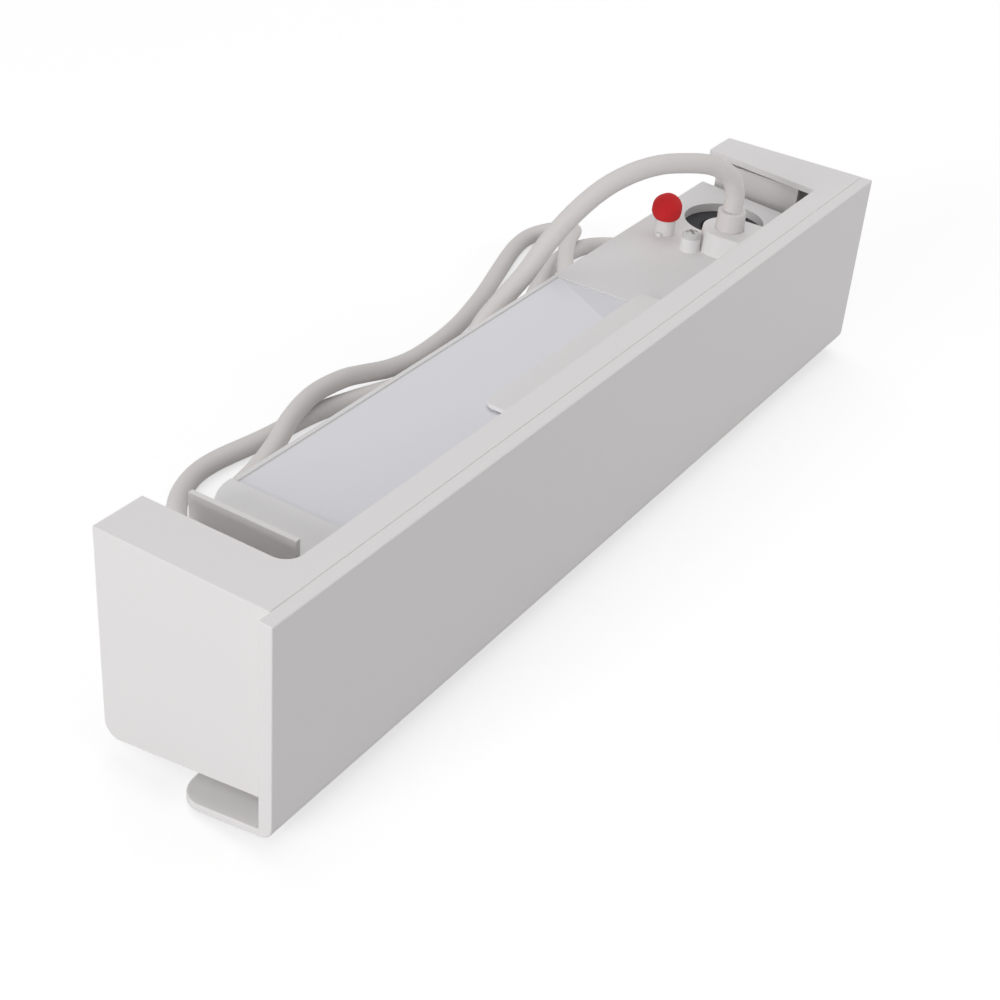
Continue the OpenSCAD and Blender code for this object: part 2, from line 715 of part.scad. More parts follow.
// coil spring along the pump's axis, with ends that reach the faces it presses on
module spring(x0, x1) {
    n = spring_turns * spring_steps;
    a = x0 + spring_wire / 2 + snug;
    b = x1 - spring_wire / 2 - snug;
    p = [for (i = [0 : n]) let (t = 360 * i / spring_steps)
        [a + (b - a) * i / n, pump_y + spring_r * cos(t), pump_z + spring_r * sin(t)]];
    color("silver") sweep_tube(p, [1, 0, 0], spring_wire / 2, wire_fn);
}

module main_spring() {
    spring(barrel_x0, barrel_x0 + spring_l);
}

module buffer_spring() {
    spring(barrel_x1 - spring_l, barrel_x1);
}

// valve block with its barrel socket toward the coil and its tube socket away from it
module valve_block(x_far, x_near) {
    dir = sign(x_near - x_far);
    module bore(d0, d1, r) {
        a = x_near - dir * d0;
        b = x_near - dir * d1;
        on_axis(min(a, b), max(a, b), r);
    }
    difference() {
        on_axis(min(x_far, x_near), max(x_far, x_near), valve_d / 2);
        bore(-over, socket_l, barrel_r + snug);
        bore(-over, 2 * ring_r + groove_lip, barrel_r + 2 * ring_r + snug);
        bore(0, valve_l + over, water_bore / 2);
        bore(socket_l + web_t, socket_l + web_t + chamber_l, chamber_r);
        bore(valve_l - socket_l, valve_l + over, tube_d / 2 + snug);
    }
}

module inlet_valve_block() {
    color("dodgerblue") valve_block(in_x1, in_x0);
}

module outlet_valve_block() {
    color("dodgerblue") valve_block(out_x0, out_x1);
}

module valve_discs() {
    chamber_in = in_x0 + socket_l + web_t;
    chamber_out = out_x1 - socket_l - web_t;
    color("#222222") {
        on_axis(chamber_in + chamber_l - disc_t, chamber_in + chamber_l, disc_r);
        on_axis(chamber_out - disc_t, chamber_out, disc_r);
    }
}

module barrel_seals() {
    color("#222222") for (x = [in_x0 + ring_r + groove_lip, out_x1 - ring_r - groove_lip])
        translate([x, pump_y, pump_z]) rotate([0, 90, 0]) rotate_extrude($fn = round_fn)
            translate([barrel_r + ring_r, 0]) circle(r = ring_r - snug, $fn = small_fn);
}

module coil_bobbin() {
    color("ivory") difference() {
        union() {
            on_axis(coil_x0 - flange_t, coil_x0, flange_r);
            on_axis(coil_x0 + coil_l, coil_x0 + coil_l + flange_t, flange_r);
            on_axis(coil_x0 - flange_t, coil_x0 + coil_l + flange_t, barrel_r + web_t);
        }
        on_axis(coil_x0 - flange_t - over, coil_x0 + coil_l + flange_t + over, barrel_r + snug);
    }
}

module coil_winding() {
    color("peru") difference() {
        on_axis(coil_x0, coil_x0 + coil_l, coil_d / 2);
        on_axis(coil_x0 - over, coil_x0 + coil_l + over, barrel_r + web_t);
    }
}

module coil_yoke() {
    x0 = coil_x0 - flange_t;
    x1 = coil_x0 + coil_l + flange_t;
    color("darkgray") difference() {
        slab([x0 - yoke_t, pump_y - yoke_w / 2, pump_z - yoke_half],
            [x1 + yoke_t, pump_y + yoke_w / 2, pump_z + yoke_half]);
        slab([x0, pump_y - yoke_w, pump_z - flange_r], [x1, pump_y + yoke_w, pump_z + flange_r]);
        on_axis(x0 - yoke_t - over, x1 + yoke_t + over, barrel_r + snug);
    }
}

module thermal_cutout() {
    a = [pump_mid - cutout[0] / 2, pump_y + web_t, pump_z + yoke_half];
    color("#222222") slab(a, a + cutout);
}

// tube with a bore along a list of points that run along the axes
module hose(p, tip = over) {
    first = p[0] + unit(p[0] - p[1]) * tip;
    n = len(p) - 1;
    last = p[n] + unit(p[n] - p[n - 1]) * tip;
    inner = concat([first], [for (i = [1 : n - 1]) p[i]], [last]);
    difference() {
        run(p, tube_d / 2);
        run(inner, water_bore / 2);
    }
}

module suction_tube() {
    dip_x = divider_x + tube_d / 2 + collar_gap;
    color("gainsboro") hose([[in_x1 - socket_l, pump_y, pump_z], [dip_x, pump_y, pump_z],
        [dip_x, pump_y, floor_z + stem_flange_h]]);
}

module discharge_tube() {
    high_z = pump_z + yoke_half + tube_d;
    color("gainsboro") hose([[out_x0 + socket_l, pump_y, pump_z], [turn_x, pump_y, pump_z],
        [turn_x, spigot[1], pump_z], [turn_x, spigot[1], high_z],
        [spigot[0], spigot[1], high_z], [spigot[0], spigot[1], lid_under - web_t]]);
}

module discharge_spigot() {
    r = spigot_d / 2 - snug;
    color("white") difference() {
        union() {
            post(spigot, lid_under - web_t, lid_z + spigot_h, r, r);
            post(spigot, lid_under - web_t, lid_under, r + web_t, r + web_t);
        }
        post(spigot, lid_under - web_t - over, lid_z + spigot_h + over, spigot_bore / 2,
            spigot_bore / 2);
    }
}

module spigot_cap() {
    color("crimson") difference() {
        translate([spigot[0], spigot[1], cap_mid_z]) sphere(d = cap_d, $fn = round_fn);
        slab([spigot[0] - cap_d, spigot[1] - cap_d, cap_mid_z - cap_d],
            [spigot[0] + cap_d, spigot[1] + cap_d, cap_rim_z]);
        post(spigot, cap_mid_z - cap_d, lid_z + spigot_h + seat, spigot_d / 2, spigot_d / 2);
    }
}

module cable_collar() {
    r = collar_d / 2;
    color("whitesmoke") {
        post(gland, lid_under, gland_z, r, r);
        post(gland, gland_z, collar_z, r, r - collar_taper);
        post(gland, lid_under - neck_l, lid_under, cord_r, cord_r);
    }
}

module control_board() {
    color("darkgreen") slab([board_x0, board_y0, board_z],
        [board_x0 + board_l, board_y0 + board_d, board_top]);
}

module board_components() {
    base = [board_x0, board_y0, board_top];
    color("black") {
        for (b = [[transformer_at, transformer], [relay_at, relay], [chip_at, chip]])
            slab(base + b[0], base + b[0] + b[1]);
        for (k = [0, 1]) post(base + capacitor_at + [k * 2 * (capacitor_r + seat), 0],
            board_top, board_top + capacitor_h, capacitor_r, capacitor_r);
    }
}

module terminal_block() {
    a = [terminal_x0, terminal_y0, board_top];
    color("seagreen") slab(a, a + terminal);
}

module supply_leads() {
    color("saddlebrown") for (i = [0 : 3]) {
        level = floor(i / 2);
        side = i % 2;
        c = gland + lead_off * [level * 2 - 1, side * 2 - 1];
        z = lead_z - level * (lead_d + seat);
        end_x = terminal_x0 + lead_step / 2 + lead_step * (level * 2 + side);
        run([[c[0], c[1], lid_under - neck_l], [c[0], c[1], z], [end_x, c[1], z],
            [end_x, c[1], board_top + terminal[2]]], lead_d / 2, small_fn);
    }
}

module power_cord() {
    color("#d8d4d2") sweep_tube(smooth_route(cord_route, ring_step), [1, 0, 0], cord_r,
        cord_sides);
}

// one of the four cores at the free end of the cord: the sheath's end is at its start
module tail_core(k, from, to, r) {
    last = cord_route[len(cord_route) - 1];
    ahead = unit(last - cord_route[len(cord_route) - 2]);
    aside = unit(cross([0, 0, 1], ahead));
    u = k % 2 * 2 - 1;
    w = floor(k / 2) * 2 - 1;
    a = last + ahead * seat + aside * u * tail_off + [0, 0, w * tail_off];
    b = a + ahead * tail_l + aside * u * tail_spread;
    rod(a + (b - a) * from / tail_l, a + (b - a) * to / tail_l, r);
}

module tail_brown() {
    color("saddlebrown") tail_core(0, 0, tail_l - tail_bare, tail_d / 2);
}

module tail_blue() {
    color("royalblue") tail_core(1, 0, tail_l - tail_bare, tail_d / 2);
}

module tail_black() {
    color("#222222") tail_core(2, 0, tail_l - tail_bare, tail_d / 2);
}

module tail_grey() {
    color("gray") tail_core(3, 0, tail_l - tail_bare, tail_d / 2);
}

module tail_ends() {
    color("goldenrod") for (k = [0 : 3]) tail_core(k, tail_l - tail_bare, tail_l, core_d / 2);
}

cover_body();
front_fascia();
wall_bracket();
isolation_pads();
pump_casing();
casing_lid();
rating_label();
lid_screw();
inlet_seal();
inlet_filter();
float_guide();
level_sensor();
float_body();
float_magnet();
pump_barrel();
piston();
main_spring();
buffer_spring();
inlet_valve_block();
outlet_valve_block();
valve_discs();
barrel_seals();
coil_bobbin();
coil_winding();
coil_yoke();
thermal_cutout();
suction_tube();
discharge_tube();
discharge_spigot();
spigot_cap();
cable_collar();
control_board();
board_components();
terminal_block();
supply_leads();
power_cord();
tail_brown();
tail_blue();
tail_black();
tail_grey();
tail_ends();
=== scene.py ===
"""Dressed model of a condensate pump for a small split air conditioner.

The pump lies in its wall bracket under a slide-on white cover, and its supply cord arches over
the back and lies in loose folds behind it.
"""
import json
import logging
import math
from dataclasses import dataclass
from enum import Enum
from typing import Callable, Dict, List, Optional, Sequence, Tuple, Union

import bmesh
import bpy
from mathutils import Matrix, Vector

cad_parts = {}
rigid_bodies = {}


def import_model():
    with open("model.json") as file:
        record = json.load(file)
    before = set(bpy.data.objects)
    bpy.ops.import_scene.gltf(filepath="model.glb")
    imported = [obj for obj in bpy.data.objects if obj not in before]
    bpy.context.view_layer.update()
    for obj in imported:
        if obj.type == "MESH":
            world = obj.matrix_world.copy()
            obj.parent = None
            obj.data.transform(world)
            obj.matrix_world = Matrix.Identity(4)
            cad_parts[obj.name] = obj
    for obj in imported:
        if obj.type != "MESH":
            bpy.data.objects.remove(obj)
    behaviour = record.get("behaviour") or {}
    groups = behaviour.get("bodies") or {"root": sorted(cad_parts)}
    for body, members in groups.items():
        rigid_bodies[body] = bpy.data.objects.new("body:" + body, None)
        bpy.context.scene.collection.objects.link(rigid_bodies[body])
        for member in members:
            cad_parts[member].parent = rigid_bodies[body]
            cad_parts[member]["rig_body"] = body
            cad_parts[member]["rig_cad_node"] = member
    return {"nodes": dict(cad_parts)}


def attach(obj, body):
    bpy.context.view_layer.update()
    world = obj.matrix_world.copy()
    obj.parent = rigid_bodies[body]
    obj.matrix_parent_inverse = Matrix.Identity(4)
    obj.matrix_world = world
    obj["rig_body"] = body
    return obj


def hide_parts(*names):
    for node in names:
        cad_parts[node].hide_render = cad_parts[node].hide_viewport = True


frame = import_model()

Point = Tuple[float, float, float]
Colour = Tuple[float, float, float]
Piece = bpy.types.Object
Span = Tuple[float, float]

MM = 0.001
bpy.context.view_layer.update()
log = logging.getLogger("condensate_pump")

# Usual range of a noise node, and the whole range of a share
CLOUDY: Span = (0.3, 0.7)
WHOLE: Span = (0.0, 1.0)

# Radians that Blender's band texture runs through in a metre at a scale of 1
BAND_RATE = 20.0

# Points this near are one, faces this flat are one, and sharper edges than this are rounded
WELD_GAP = 0.001 * MM
FLAT_ANGLE = math.radians(0.3)
EDGE_ANGLE = math.radians(32)
FACE_WEIGHT = 100

# Smallest ring of a turned piece, as a share of the next one
POLE_SHARE = 0.25


class Axis(Enum):
    """Directions that a wound or drawn surface can run in."""

    X = "X"
    Y = "Y"
    Z = "Z"


# Shader maths


class Wire:
    """A number at a node's output, on which Python's arithmetic adds Math nodes."""

    def __init__(self, board: "Board", socket: bpy.types.NodeSocket) -> None:
        """Wrap one output of a board's node."""
        self.board = board
        self.socket = socket

    def _calc(self, operation: str, first: "Entry", second: "Entry") -> "Wire":
        """Add one Math node.

        Args:
            operation: Blender's name for the sum.
            first: Wire or number on the node's first input.
            second: Wire or number on its second input.

        Returns:
            The result.
        """
        node = self.board.node("ShaderNodeMath", {"operation": operation}, {0: first, 1: second})
        return Wire(self.board, node.outputs[0])

    def __add__(self, other: "Entry") -> "Wire":
        """This plus other."""
        return self._calc("ADD", self, other)

    def __mul__(self, other: "Entry") -> "Wire":
        """This times other."""
        return self._calc("MULTIPLY", self, other)

    def larger(self, other: "Entry") -> "Wire":
        """The larger of this and other."""
        return self._calc("MAXIMUM", self, other)


Entry = Union[Wire, bpy.types.NodeSocket, int, float, Sequence[float]]


class Board:
    """The nodes of one material or of the world."""

    def __init__(self, tree: bpy.types.NodeTree, output: str) -> None:
        """Clear a node tree and give it its output node.

        Args:
            tree: Tree of a material or of the world.
            output: Type of its output node.
        """
        self.tree = tree
        self.tree.nodes.clear()
        self.output = self.node(output)

    def node(
        self,
        kind: str,
        settings: Optional[Dict[str, object]] = None,
        sockets: Optional[Dict[Union[int, str], Entry]] = None,
    ) -> bpy.types.Node:
        """Add a node, set it, then fill its inputs.

        Args:
            kind: Blender's type name of the node.
            settings: Properties of the node.
            sockets: Inputs by name or number, each a value, a wire or an output.

        Returns:
            The node.
        """
        made = self.tree.nodes.new(kind)
        for name, value in (settings or {}).items():
            setattr(made, name, value)
        for key, value in (sockets or {}).items():
            if isinstance(value, Wire):
                self.tree.links.new(value.socket, made.inputs[key])
            elif isinstance(value, bpy.types.NodeSocket):
                self.tree.links.new(value, made.inputs[key])
            else:
                made.inputs[key].default_value = value
        return made

    def place(self, stretch: Point = (1.0, 1.0, 1.0)) -> bpy.types.NodeSocket:
        """Object coordinates, stretched along the axes.

        Args:
            stretch: Factor along X, Y and Z.

        Returns:
            The vector output.
        """
        coordinates = self.node("ShaderNodeTexCoord")
        mapping = self.node(
            "ShaderNodeMapping", {}, {"Vector": coordinates.outputs["Object"], "Scale": stretch}
        )
        return mapping.outputs[0]

    def noise(self, size: float, detail: float = 2.0, stretch: Point = (1.0, 1.0, 1.0)) -> Wire:
        """Cloudy pattern.

        Args:
            size: Width of its blots in metres.
            detail: How many finer layers it has.
            stretch: Factor on the coordinates along X, Y and Z.

        Returns:
            A wire from about 0.25 to 0.75.
        """
        made = self.node(
            "ShaderNodeTexNoise",
            {},
            {"Vector": self.place(stretch), "Scale": 1.0 / size, "Detail": detail},
        )
        return Wire(self, made.outputs[0])

    def spread(self, wire: Wire, start: Span, to: Span) -> Wire:
        """Map a range of a wire onto another, held at both ends.

        Args:
            wire: The number.
            start: Its lowest and highest value.
            to: What these two become.

        Returns:
            The mapped number.
        """
        made = self.node("ShaderNodeMapRange", {"clamp": True}, {
            "Value": wire, "From Min": start[0], "From Max": start[1],
            "To Min": to[0], "To Max": to[1],
        })
        return Wire(self, made.outputs[0])

    def mix(self, share: Entry, first: Entry, second: Entry) -> bpy.types.NodeSocket:
        """Mix two colours.

        Args:
            share: Share of the second colour.
            first: Colour or output.
            second: Colour or output.

        Returns:
            The mixed colour.
        """
        made = self.node(
            "ShaderNodeMix",
            {"data_type": "RGBA", "clamp_factor": True},
            {0: share, 6: self._full(first), 7: self._full(second)},
        )
        return made.outputs[2]

    @staticmethod
    def _full(colour: Entry) -> Entry:
        """Give a colour its fourth number.

        Args:
            colour: Three numbers, or an output.

        Returns:
            The colour with its fourth number, or the output as it is.
        """
        if isinstance(colour, (tuple, list)):
            return (*colour, 1.0)
        return colour

    def bump(
        self, height: Wire, depth: float, after: Optional[bpy.types.NodeSocket] = None
    ) -> bpy.types.NodeSocket:
        """Surface relief.

        Args:
            height: Height from 0 to 1.
            depth: Height of 1 in metres.
            after: Normal to start from.

        Returns:
            The normal.
        """
        sockets: Dict[Union[int, str], Entry] = {
            "Height": height, "Distance": depth, "Strength": 1.0,
        }
        if after is not None:
            sockets["Normal"] = after
        return self.node("ShaderNodeBump", {}, sockets).outputs[0]


# Finishes


@dataclass(frozen=True)
class Finish:
    """A finish with a name and a base colour, made into a material when it is first used."""

    name: str
    colour: Colour

    def material(self) -> bpy.types.Material:
        """Find the finish's material, or make it the first time.

        Returns:
            The material.
        """
        found = bpy.data.materials.get(self.name)
        if found is not None:
            return found
        made = bpy.data.materials.new(self.name)
        made.use_nodes = True
        self.draw(Board(made.node_tree, "ShaderNodeOutputMaterial"))
        return made

    def draw(self, board: Board) -> None:
        """Build the material's nodes on a board, in each kind of finish its own."""
        raise NotImplementedError

    def tint(self, share: float) -> Colour:
        """The base colour made lighter or darker.

        Args:
            share: Factor on each of its numbers.

        Returns:
            The colour, at most 1.
        """
        return tuple(min(1.0, c * share) for c in self.colour)

    @staticmethod
    def close(board: Board, sockets: Dict[Union[int, str], Entry]) -> None:
        """Add the Principled shader and link it to the output.

        Args:
            board: The material's nodes.
            sockets: The shader's inputs.
        """
        shader = board.node("ShaderNodeBsdfPrincipled", {}, sockets)
        board.tree.links.new(shader.outputs[0], board.output.inputs[0])


@dataclass(frozen=True)
class Moulding(Finish):
    """Injection-moulded plastic with a faint flow mottle and a fine eroded grain."""

    roughness: float = 0.4
    grain: float = 0.0006
    grain_depth: float = 0.00001
    mottle: float = 0.03
    coat: float = 0.0
    flow_width: float = 35 * MM
    wave_width: float = 20 * MM
    wave_depth: float = 0.04 * MM
    speck_share: float = 0.5
    gloss_range: Span = (0.5, 1.0)
    smoother: float = 0.05
    rougher: float = 0.06

    def draw(self, board: Board) -> None:
        """Draw a mottled colour, uneven gloss, fine grain and long shallow waves.

        Args:
            board: The material's nodes.
        """
        cloud = board.noise(self.flow_width, 3.0)
        speck = board.noise(self.grain, 2.0)
        mottled = board.spread(cloud, CLOUDY, WHOLE)
        gloss = board.spread(cloud + speck * self.speck_share, self.gloss_range,
                             (self.roughness - self.smoother, self.roughness + self.rougher))
        waves = board.bump(board.noise(self.wave_width, 1.0), self.wave_depth)
        self.close(board, {
            "Base Color": board.mix(mottled, self.tint(1.0 - self.mottle), self.tint(1.0)),
            "Roughness": gloss,
            "Normal": board.bump(speck, self.grain_depth, waves),
            "Coat Weight": self.coat,
            "Coat Roughness": 0.2,
        })


@dataclass(frozen=True)
class Film(Finish):
    """Bare label film: a smooth face with faint fibre and a soft gloss."""

    fibre_width: float = 1.2 * MM
    fibre_stretch: Point = (1.0, 3.0, 1.0)
    fibre_depth: float = 0.008 * MM
    cloud_width: float = 20 * MM
    cloud_depth: float = 0.06 * MM
    shade: float = 0.975
    gloss: Span = (0.28, 0.36)

    def draw(self, board: Board) -> None:
        """Draw a bluish film with faint fibres under its gloss.

        Args:
            board: The material's nodes.
        """
        fibre = board.noise(self.fibre_width, 4.0, self.fibre_stretch)
        cloud = board.noise(self.cloud_width, 2.0)
        share = board.spread(cloud, CLOUDY, WHOLE)
        self.close(board, {
            "Base Color": board.mix(share, self.tint(self.shade), self.tint(1.0)),
            "Roughness": board.spread(fibre, CLOUDY, self.gloss),
            "Normal": board.bump(fibre, self.fibre_depth, board.bump(cloud, self.cloud_depth)),
        })


@dataclass(frozen=True)
class Dipped(Finish):
    """Soft dipped plastic: glossy and lumpy, with painted shade that darkens the hollows between
    the lumps.
    """

    lump_width: float = 3.5 * MM
    lump_depth: float = 0.6 * MM
    lump_range: Span = (0.35, 0.65)
    pit_width: float = 0.9 * MM
    pit_depth: float = 0.03 * MM
    # Colour in the hollows between the lumps, as painted shade
    shade: float = 0.85
    gloss: Span = (0.06, 0.14)

    def draw(self, board: Board) -> None:
        """Draw a deep glossy colour over lumps and small pits, darker in the lumps' hollows as
        painted shade.

        Args:
            board: The material's nodes.
        """
        lumps = board.noise(self.lump_width, 2.0)
        pits = board.noise(self.pit_width, 2.0)
        # Painted shade: the colour follows the lumps' relief, full on their crowns and darker in
        # their hollows
        lit_crowns = board.spread(lumps, self.lump_range, WHOLE)
        self.close(board, {
            "Base Color": board.mix(lit_crowns, self.tint(self.shade), self.tint(1.0)),
            "Roughness": board.spread(pits, CLOUDY, self.gloss),
            "Normal": board.bump(pits, self.pit_depth, board.bump(lumps, self.lump_depth)),
            "Coat Weight": 0.6,
            "Coat Roughness": 0.04,
            "Subsurface Weight": 0.08,
            "Subsurface Radius": (0.003, 0.001, 0.001),
            "Subsurface Scale": 0.3,
        })


@dataclass(frozen=True)
class Rubber(Finish):
    """Dull rubber with a fine bloom."""

    bloom: Colour = (0.09, 0.07, 0.055)
    roughness: float = 0.62
    patch_width: float = 6 * MM
    patch_range: Span = (0.45, 0.75)
    bloom_share: Span = (0.0, 0.7)
    grit_width: float = 0.5 * MM
    grit_depth: float = 0.02 * MM
    smoother: float = 0.1
    rougher: float = 0.12

    def draw(self, board: Board) -> None:
        """Draw a dark face with pale bloom in patches.

        Args:
            board: The material's nodes.
        """
        patch = board.noise(self.patch_width, 4.0)
        grit = board.noise(self.grit_width, 2.0)
        share = board.spread(patch, self.patch_range, self.bloom_share)
        gloss = (self.roughness - self.smoother, self.roughness + self.rougher)
        self.close(board, {
            "Base Color": board.mix(share, self.colour, self.bloom),
            "Roughness": board.spread(patch, CLOUDY, gloss),
            "Normal": board.bump(grit, self.grit_depth),
        })


@dataclass(frozen=True)
class Metal(Finish):
    """Drawn or turned metal with fine lines along one axis."""

    roughness: float = 0.28
    lines: Axis = Axis.X
    stain: float = 0.12
    along: float = 0.08
    across: float = 6.0
    line_width: float = 4 * MM
    line_depth: float = 0.01 * MM
    stain_width: float = 8 * MM
    stain_range: Span = (0.35, 0.7)
    stain_share: float = 0.5
    gloss_range: Span = (0.5, 1.0)
    smoother: float = 0.08
    rougher: float = 0.14

    def draw(self, board: Board) -> None:
        """Draw fine lines, uneven gloss and faint staining.

        Args:
            board: The material's nodes.
        """
        stretch = tuple(self.along if a is self.lines else self.across for a in Axis)
        line = board.noise(self.line_width, 3.0, stretch)
        cloud = board.noise(self.stain_width, 3.0)
        share = board.spread(cloud, self.stain_range, WHOLE)
        gloss = (self.roughness - self.smoother, self.roughness + self.rougher)
        self.close(board, {
            "Base Color": board.mix(share, self.tint(1.0), self.tint(1.0 - self.stain)),
            "Metallic": 1.0,
            "Roughness": board.spread(line + cloud * self.stain_share, self.gloss_range, gloss),
            "Normal": board.bump(line, self.line_depth),
        })


@dataclass(frozen=True)
class Winding(Finish):
    """Enamelled wire laid turn by turn round an axis."""

    pitch: float = 0.5 * MM
    turn_depth: float = 0.12 * MM
    gap_range: Span = (0.0, 0.4)
    # Colour in the grooves between turns: painted shade
    painted_groove_shade: float = 0.35
    cloud_width: float = 5 * MM
    cloud_shade: float = 0.85
    gloss: Span = (0.28, 0.4)

    def draw(self, board: Board) -> None:
        """Draw close bands of wire with painted shade in the grooves between them.

        Args:
            board: The material's nodes.
        """
        scale = 2 * math.pi / (BAND_RATE * self.pitch)
        wave = board.node(
            "ShaderNodeTexWave",
            {"wave_type": "BANDS", "bands_direction": "X", "wave_profile": "SIN"},
            {"Vector": board.place(), "Scale": scale, "Distortion": 0.4},
        )
        turn = Wire(board, wave.outputs[1])
        cloud = board.noise(self.cloud_width, 2.0)
        wire = board.mix(cloud, self.tint(self.cloud_shade), self.tint(1.0))
        # Painted shade: darker in the grooves between turns, where the relief of the turns is low
        lit = board.spread(turn, self.gap_range, WHOLE)
        self.close(board, {
            "Base Color": board.mix(lit, self.tint(self.painted_groove_shade), wire),
            "Metallic": 0.85,
            "Roughness": board.spread(cloud, CLOUDY, self.gloss),
            "Normal": board.bump(turn, self.turn_depth),
        })


@dataclass(frozen=True)
class Laminate(Finish):
    """Circuit board with tracks under its lacquer."""

    track: Colour = (0.03, 0.16, 0.07)
    track_depth: float = 0.02 * MM
    cloud_width: float = 10 * MM
    gloss: Span = (0.25, 0.38)

    def draw(self, board: Board) -> None:
        """Draw a lacquered board with square-cornered tracks.

        Args:
            board: The material's nodes.
        """
        brick = board.node("ShaderNodeTexBrick", {}, {
            "Vector": board.place(), "Scale": 180.0, "Mortar Size": 0.12,
            "Brick Width": 1.6, "Row Height": 0.5,
        })
        gap = Wire(board, brick.outputs[1])
        cloud = board.noise(self.cloud_width, 2.0)
        self.close(board, {
            "Base Color": board.mix(gap, self.colour, self.track),
            "Roughness": board.spread(cloud, CLOUDY, self.gloss),
            "Normal": board.bump(gap, self.track_depth),
        })


@dataclass(frozen=True)
class Jacket(Finish):
    """Flexible cable jacket or lead insulation with a faint sheen and scuffs."""

    roughness: float = 0.36
    scuff_width: float = 4 * MM
    scuff_range: Span = (0.5, 0.75)
    scuff_share: Span = (0.0, 0.5)
    scuff_shade: float = 0.9
    cloud_width: float = 30 * MM
    cloud_depth: float = 0.15 * MM
    cloud_shade: float = 0.97
    fine_width: float = 0.7 * MM
    fine_depth: float = 0.012 * MM
    smoother: float = 0.05
    rougher: float = 0.1

    def draw(self, board: Board) -> None:
        """Draw an even colour with faint handling marks and a soft wander of the surface.

        Args:
            board: The material's nodes.
        """
        scuff = board.noise(self.scuff_width, 4.0)
        cloud = board.noise(self.cloud_width, 2.0)
        fine = board.noise(self.fine_width, 2.0)
        marks = board.spread(scuff, self.scuff_range, self.scuff_share)
        clean = board.mix(cloud, self.tint(1.0), self.tint(self.cloud_shade))
        gloss = (self.roughness - self.smoother, self.roughness + self.rougher)
        self.close(board, {
            "Base Color": board.mix(marks, clean, self.tint(self.scuff_shade)),
            "Roughness": board.spread(scuff, CLOUDY, gloss),
            "Normal": board.bump(fine, self.fine_depth, board.bump(cloud, self.cloud_depth)),
        })


@dataclass(frozen=True)
class ClearHose(Finish):
    """Clear soft tube, slightly clouded."""

    cloud_width: float = 6 * MM
    cloud_depth: float = 0.06 * MM
    shade: float = 0.92
    gloss: Span = (0.1, 0.22)
    body: Span = (0.42, 0.6)

    def draw(self, board: Board) -> None:
        """Draw a half-clear wall with a cloudy tint.

        Args:
            board: The material's nodes.
        """
        cloud = board.noise(self.cloud_width, 3.0)
        self.close(board, {
            "Base Color": board.mix(cloud, self.tint(self.shade), self.tint(1.0)),
            "Roughness": board.spread(cloud, CLOUDY, self.gloss),
            "Alpha": board.spread(cloud, CLOUDY, self.body),
            "Normal": board.bump(cloud, self.cloud_depth),
        })


@dataclass(frozen=True)
class Foam(Finish):
    """Closed-cell foam with small cells."""

    cell_depth: float = 0.2 * MM
    cell_range: Span = (0.0, 0.5)
    # Colour in the pits: painted shade
    shade: float = 0.75
    gloss_range: Span = (0.0, 0.6)
    gloss: Span = (0.7, 0.85)

    def draw(self, board: Board) -> None:
        """Draw the cells as a pitted face, with painted shade darkening the pits.

        Args:
            board: The material's nodes.
        """
        cells = board.node("ShaderNodeTexVoronoi", {}, {"Vector": board.place(), "Scale": 1500.0})
        cell = Wire(board, cells.outputs[0])
        # Painted shade: darker at the cell centres, the bottoms of the pits
        lit = board.spread(cell, self.cell_range, WHOLE)
        self.close(board, {
            "Base Color": board.mix(lit, self.tint(self.shade), self.tint(1.0)),
            "Roughness": board.spread(cell, self.gloss_range, self.gloss),
            "Normal": board.bump(cell, self.cell_depth),
        })


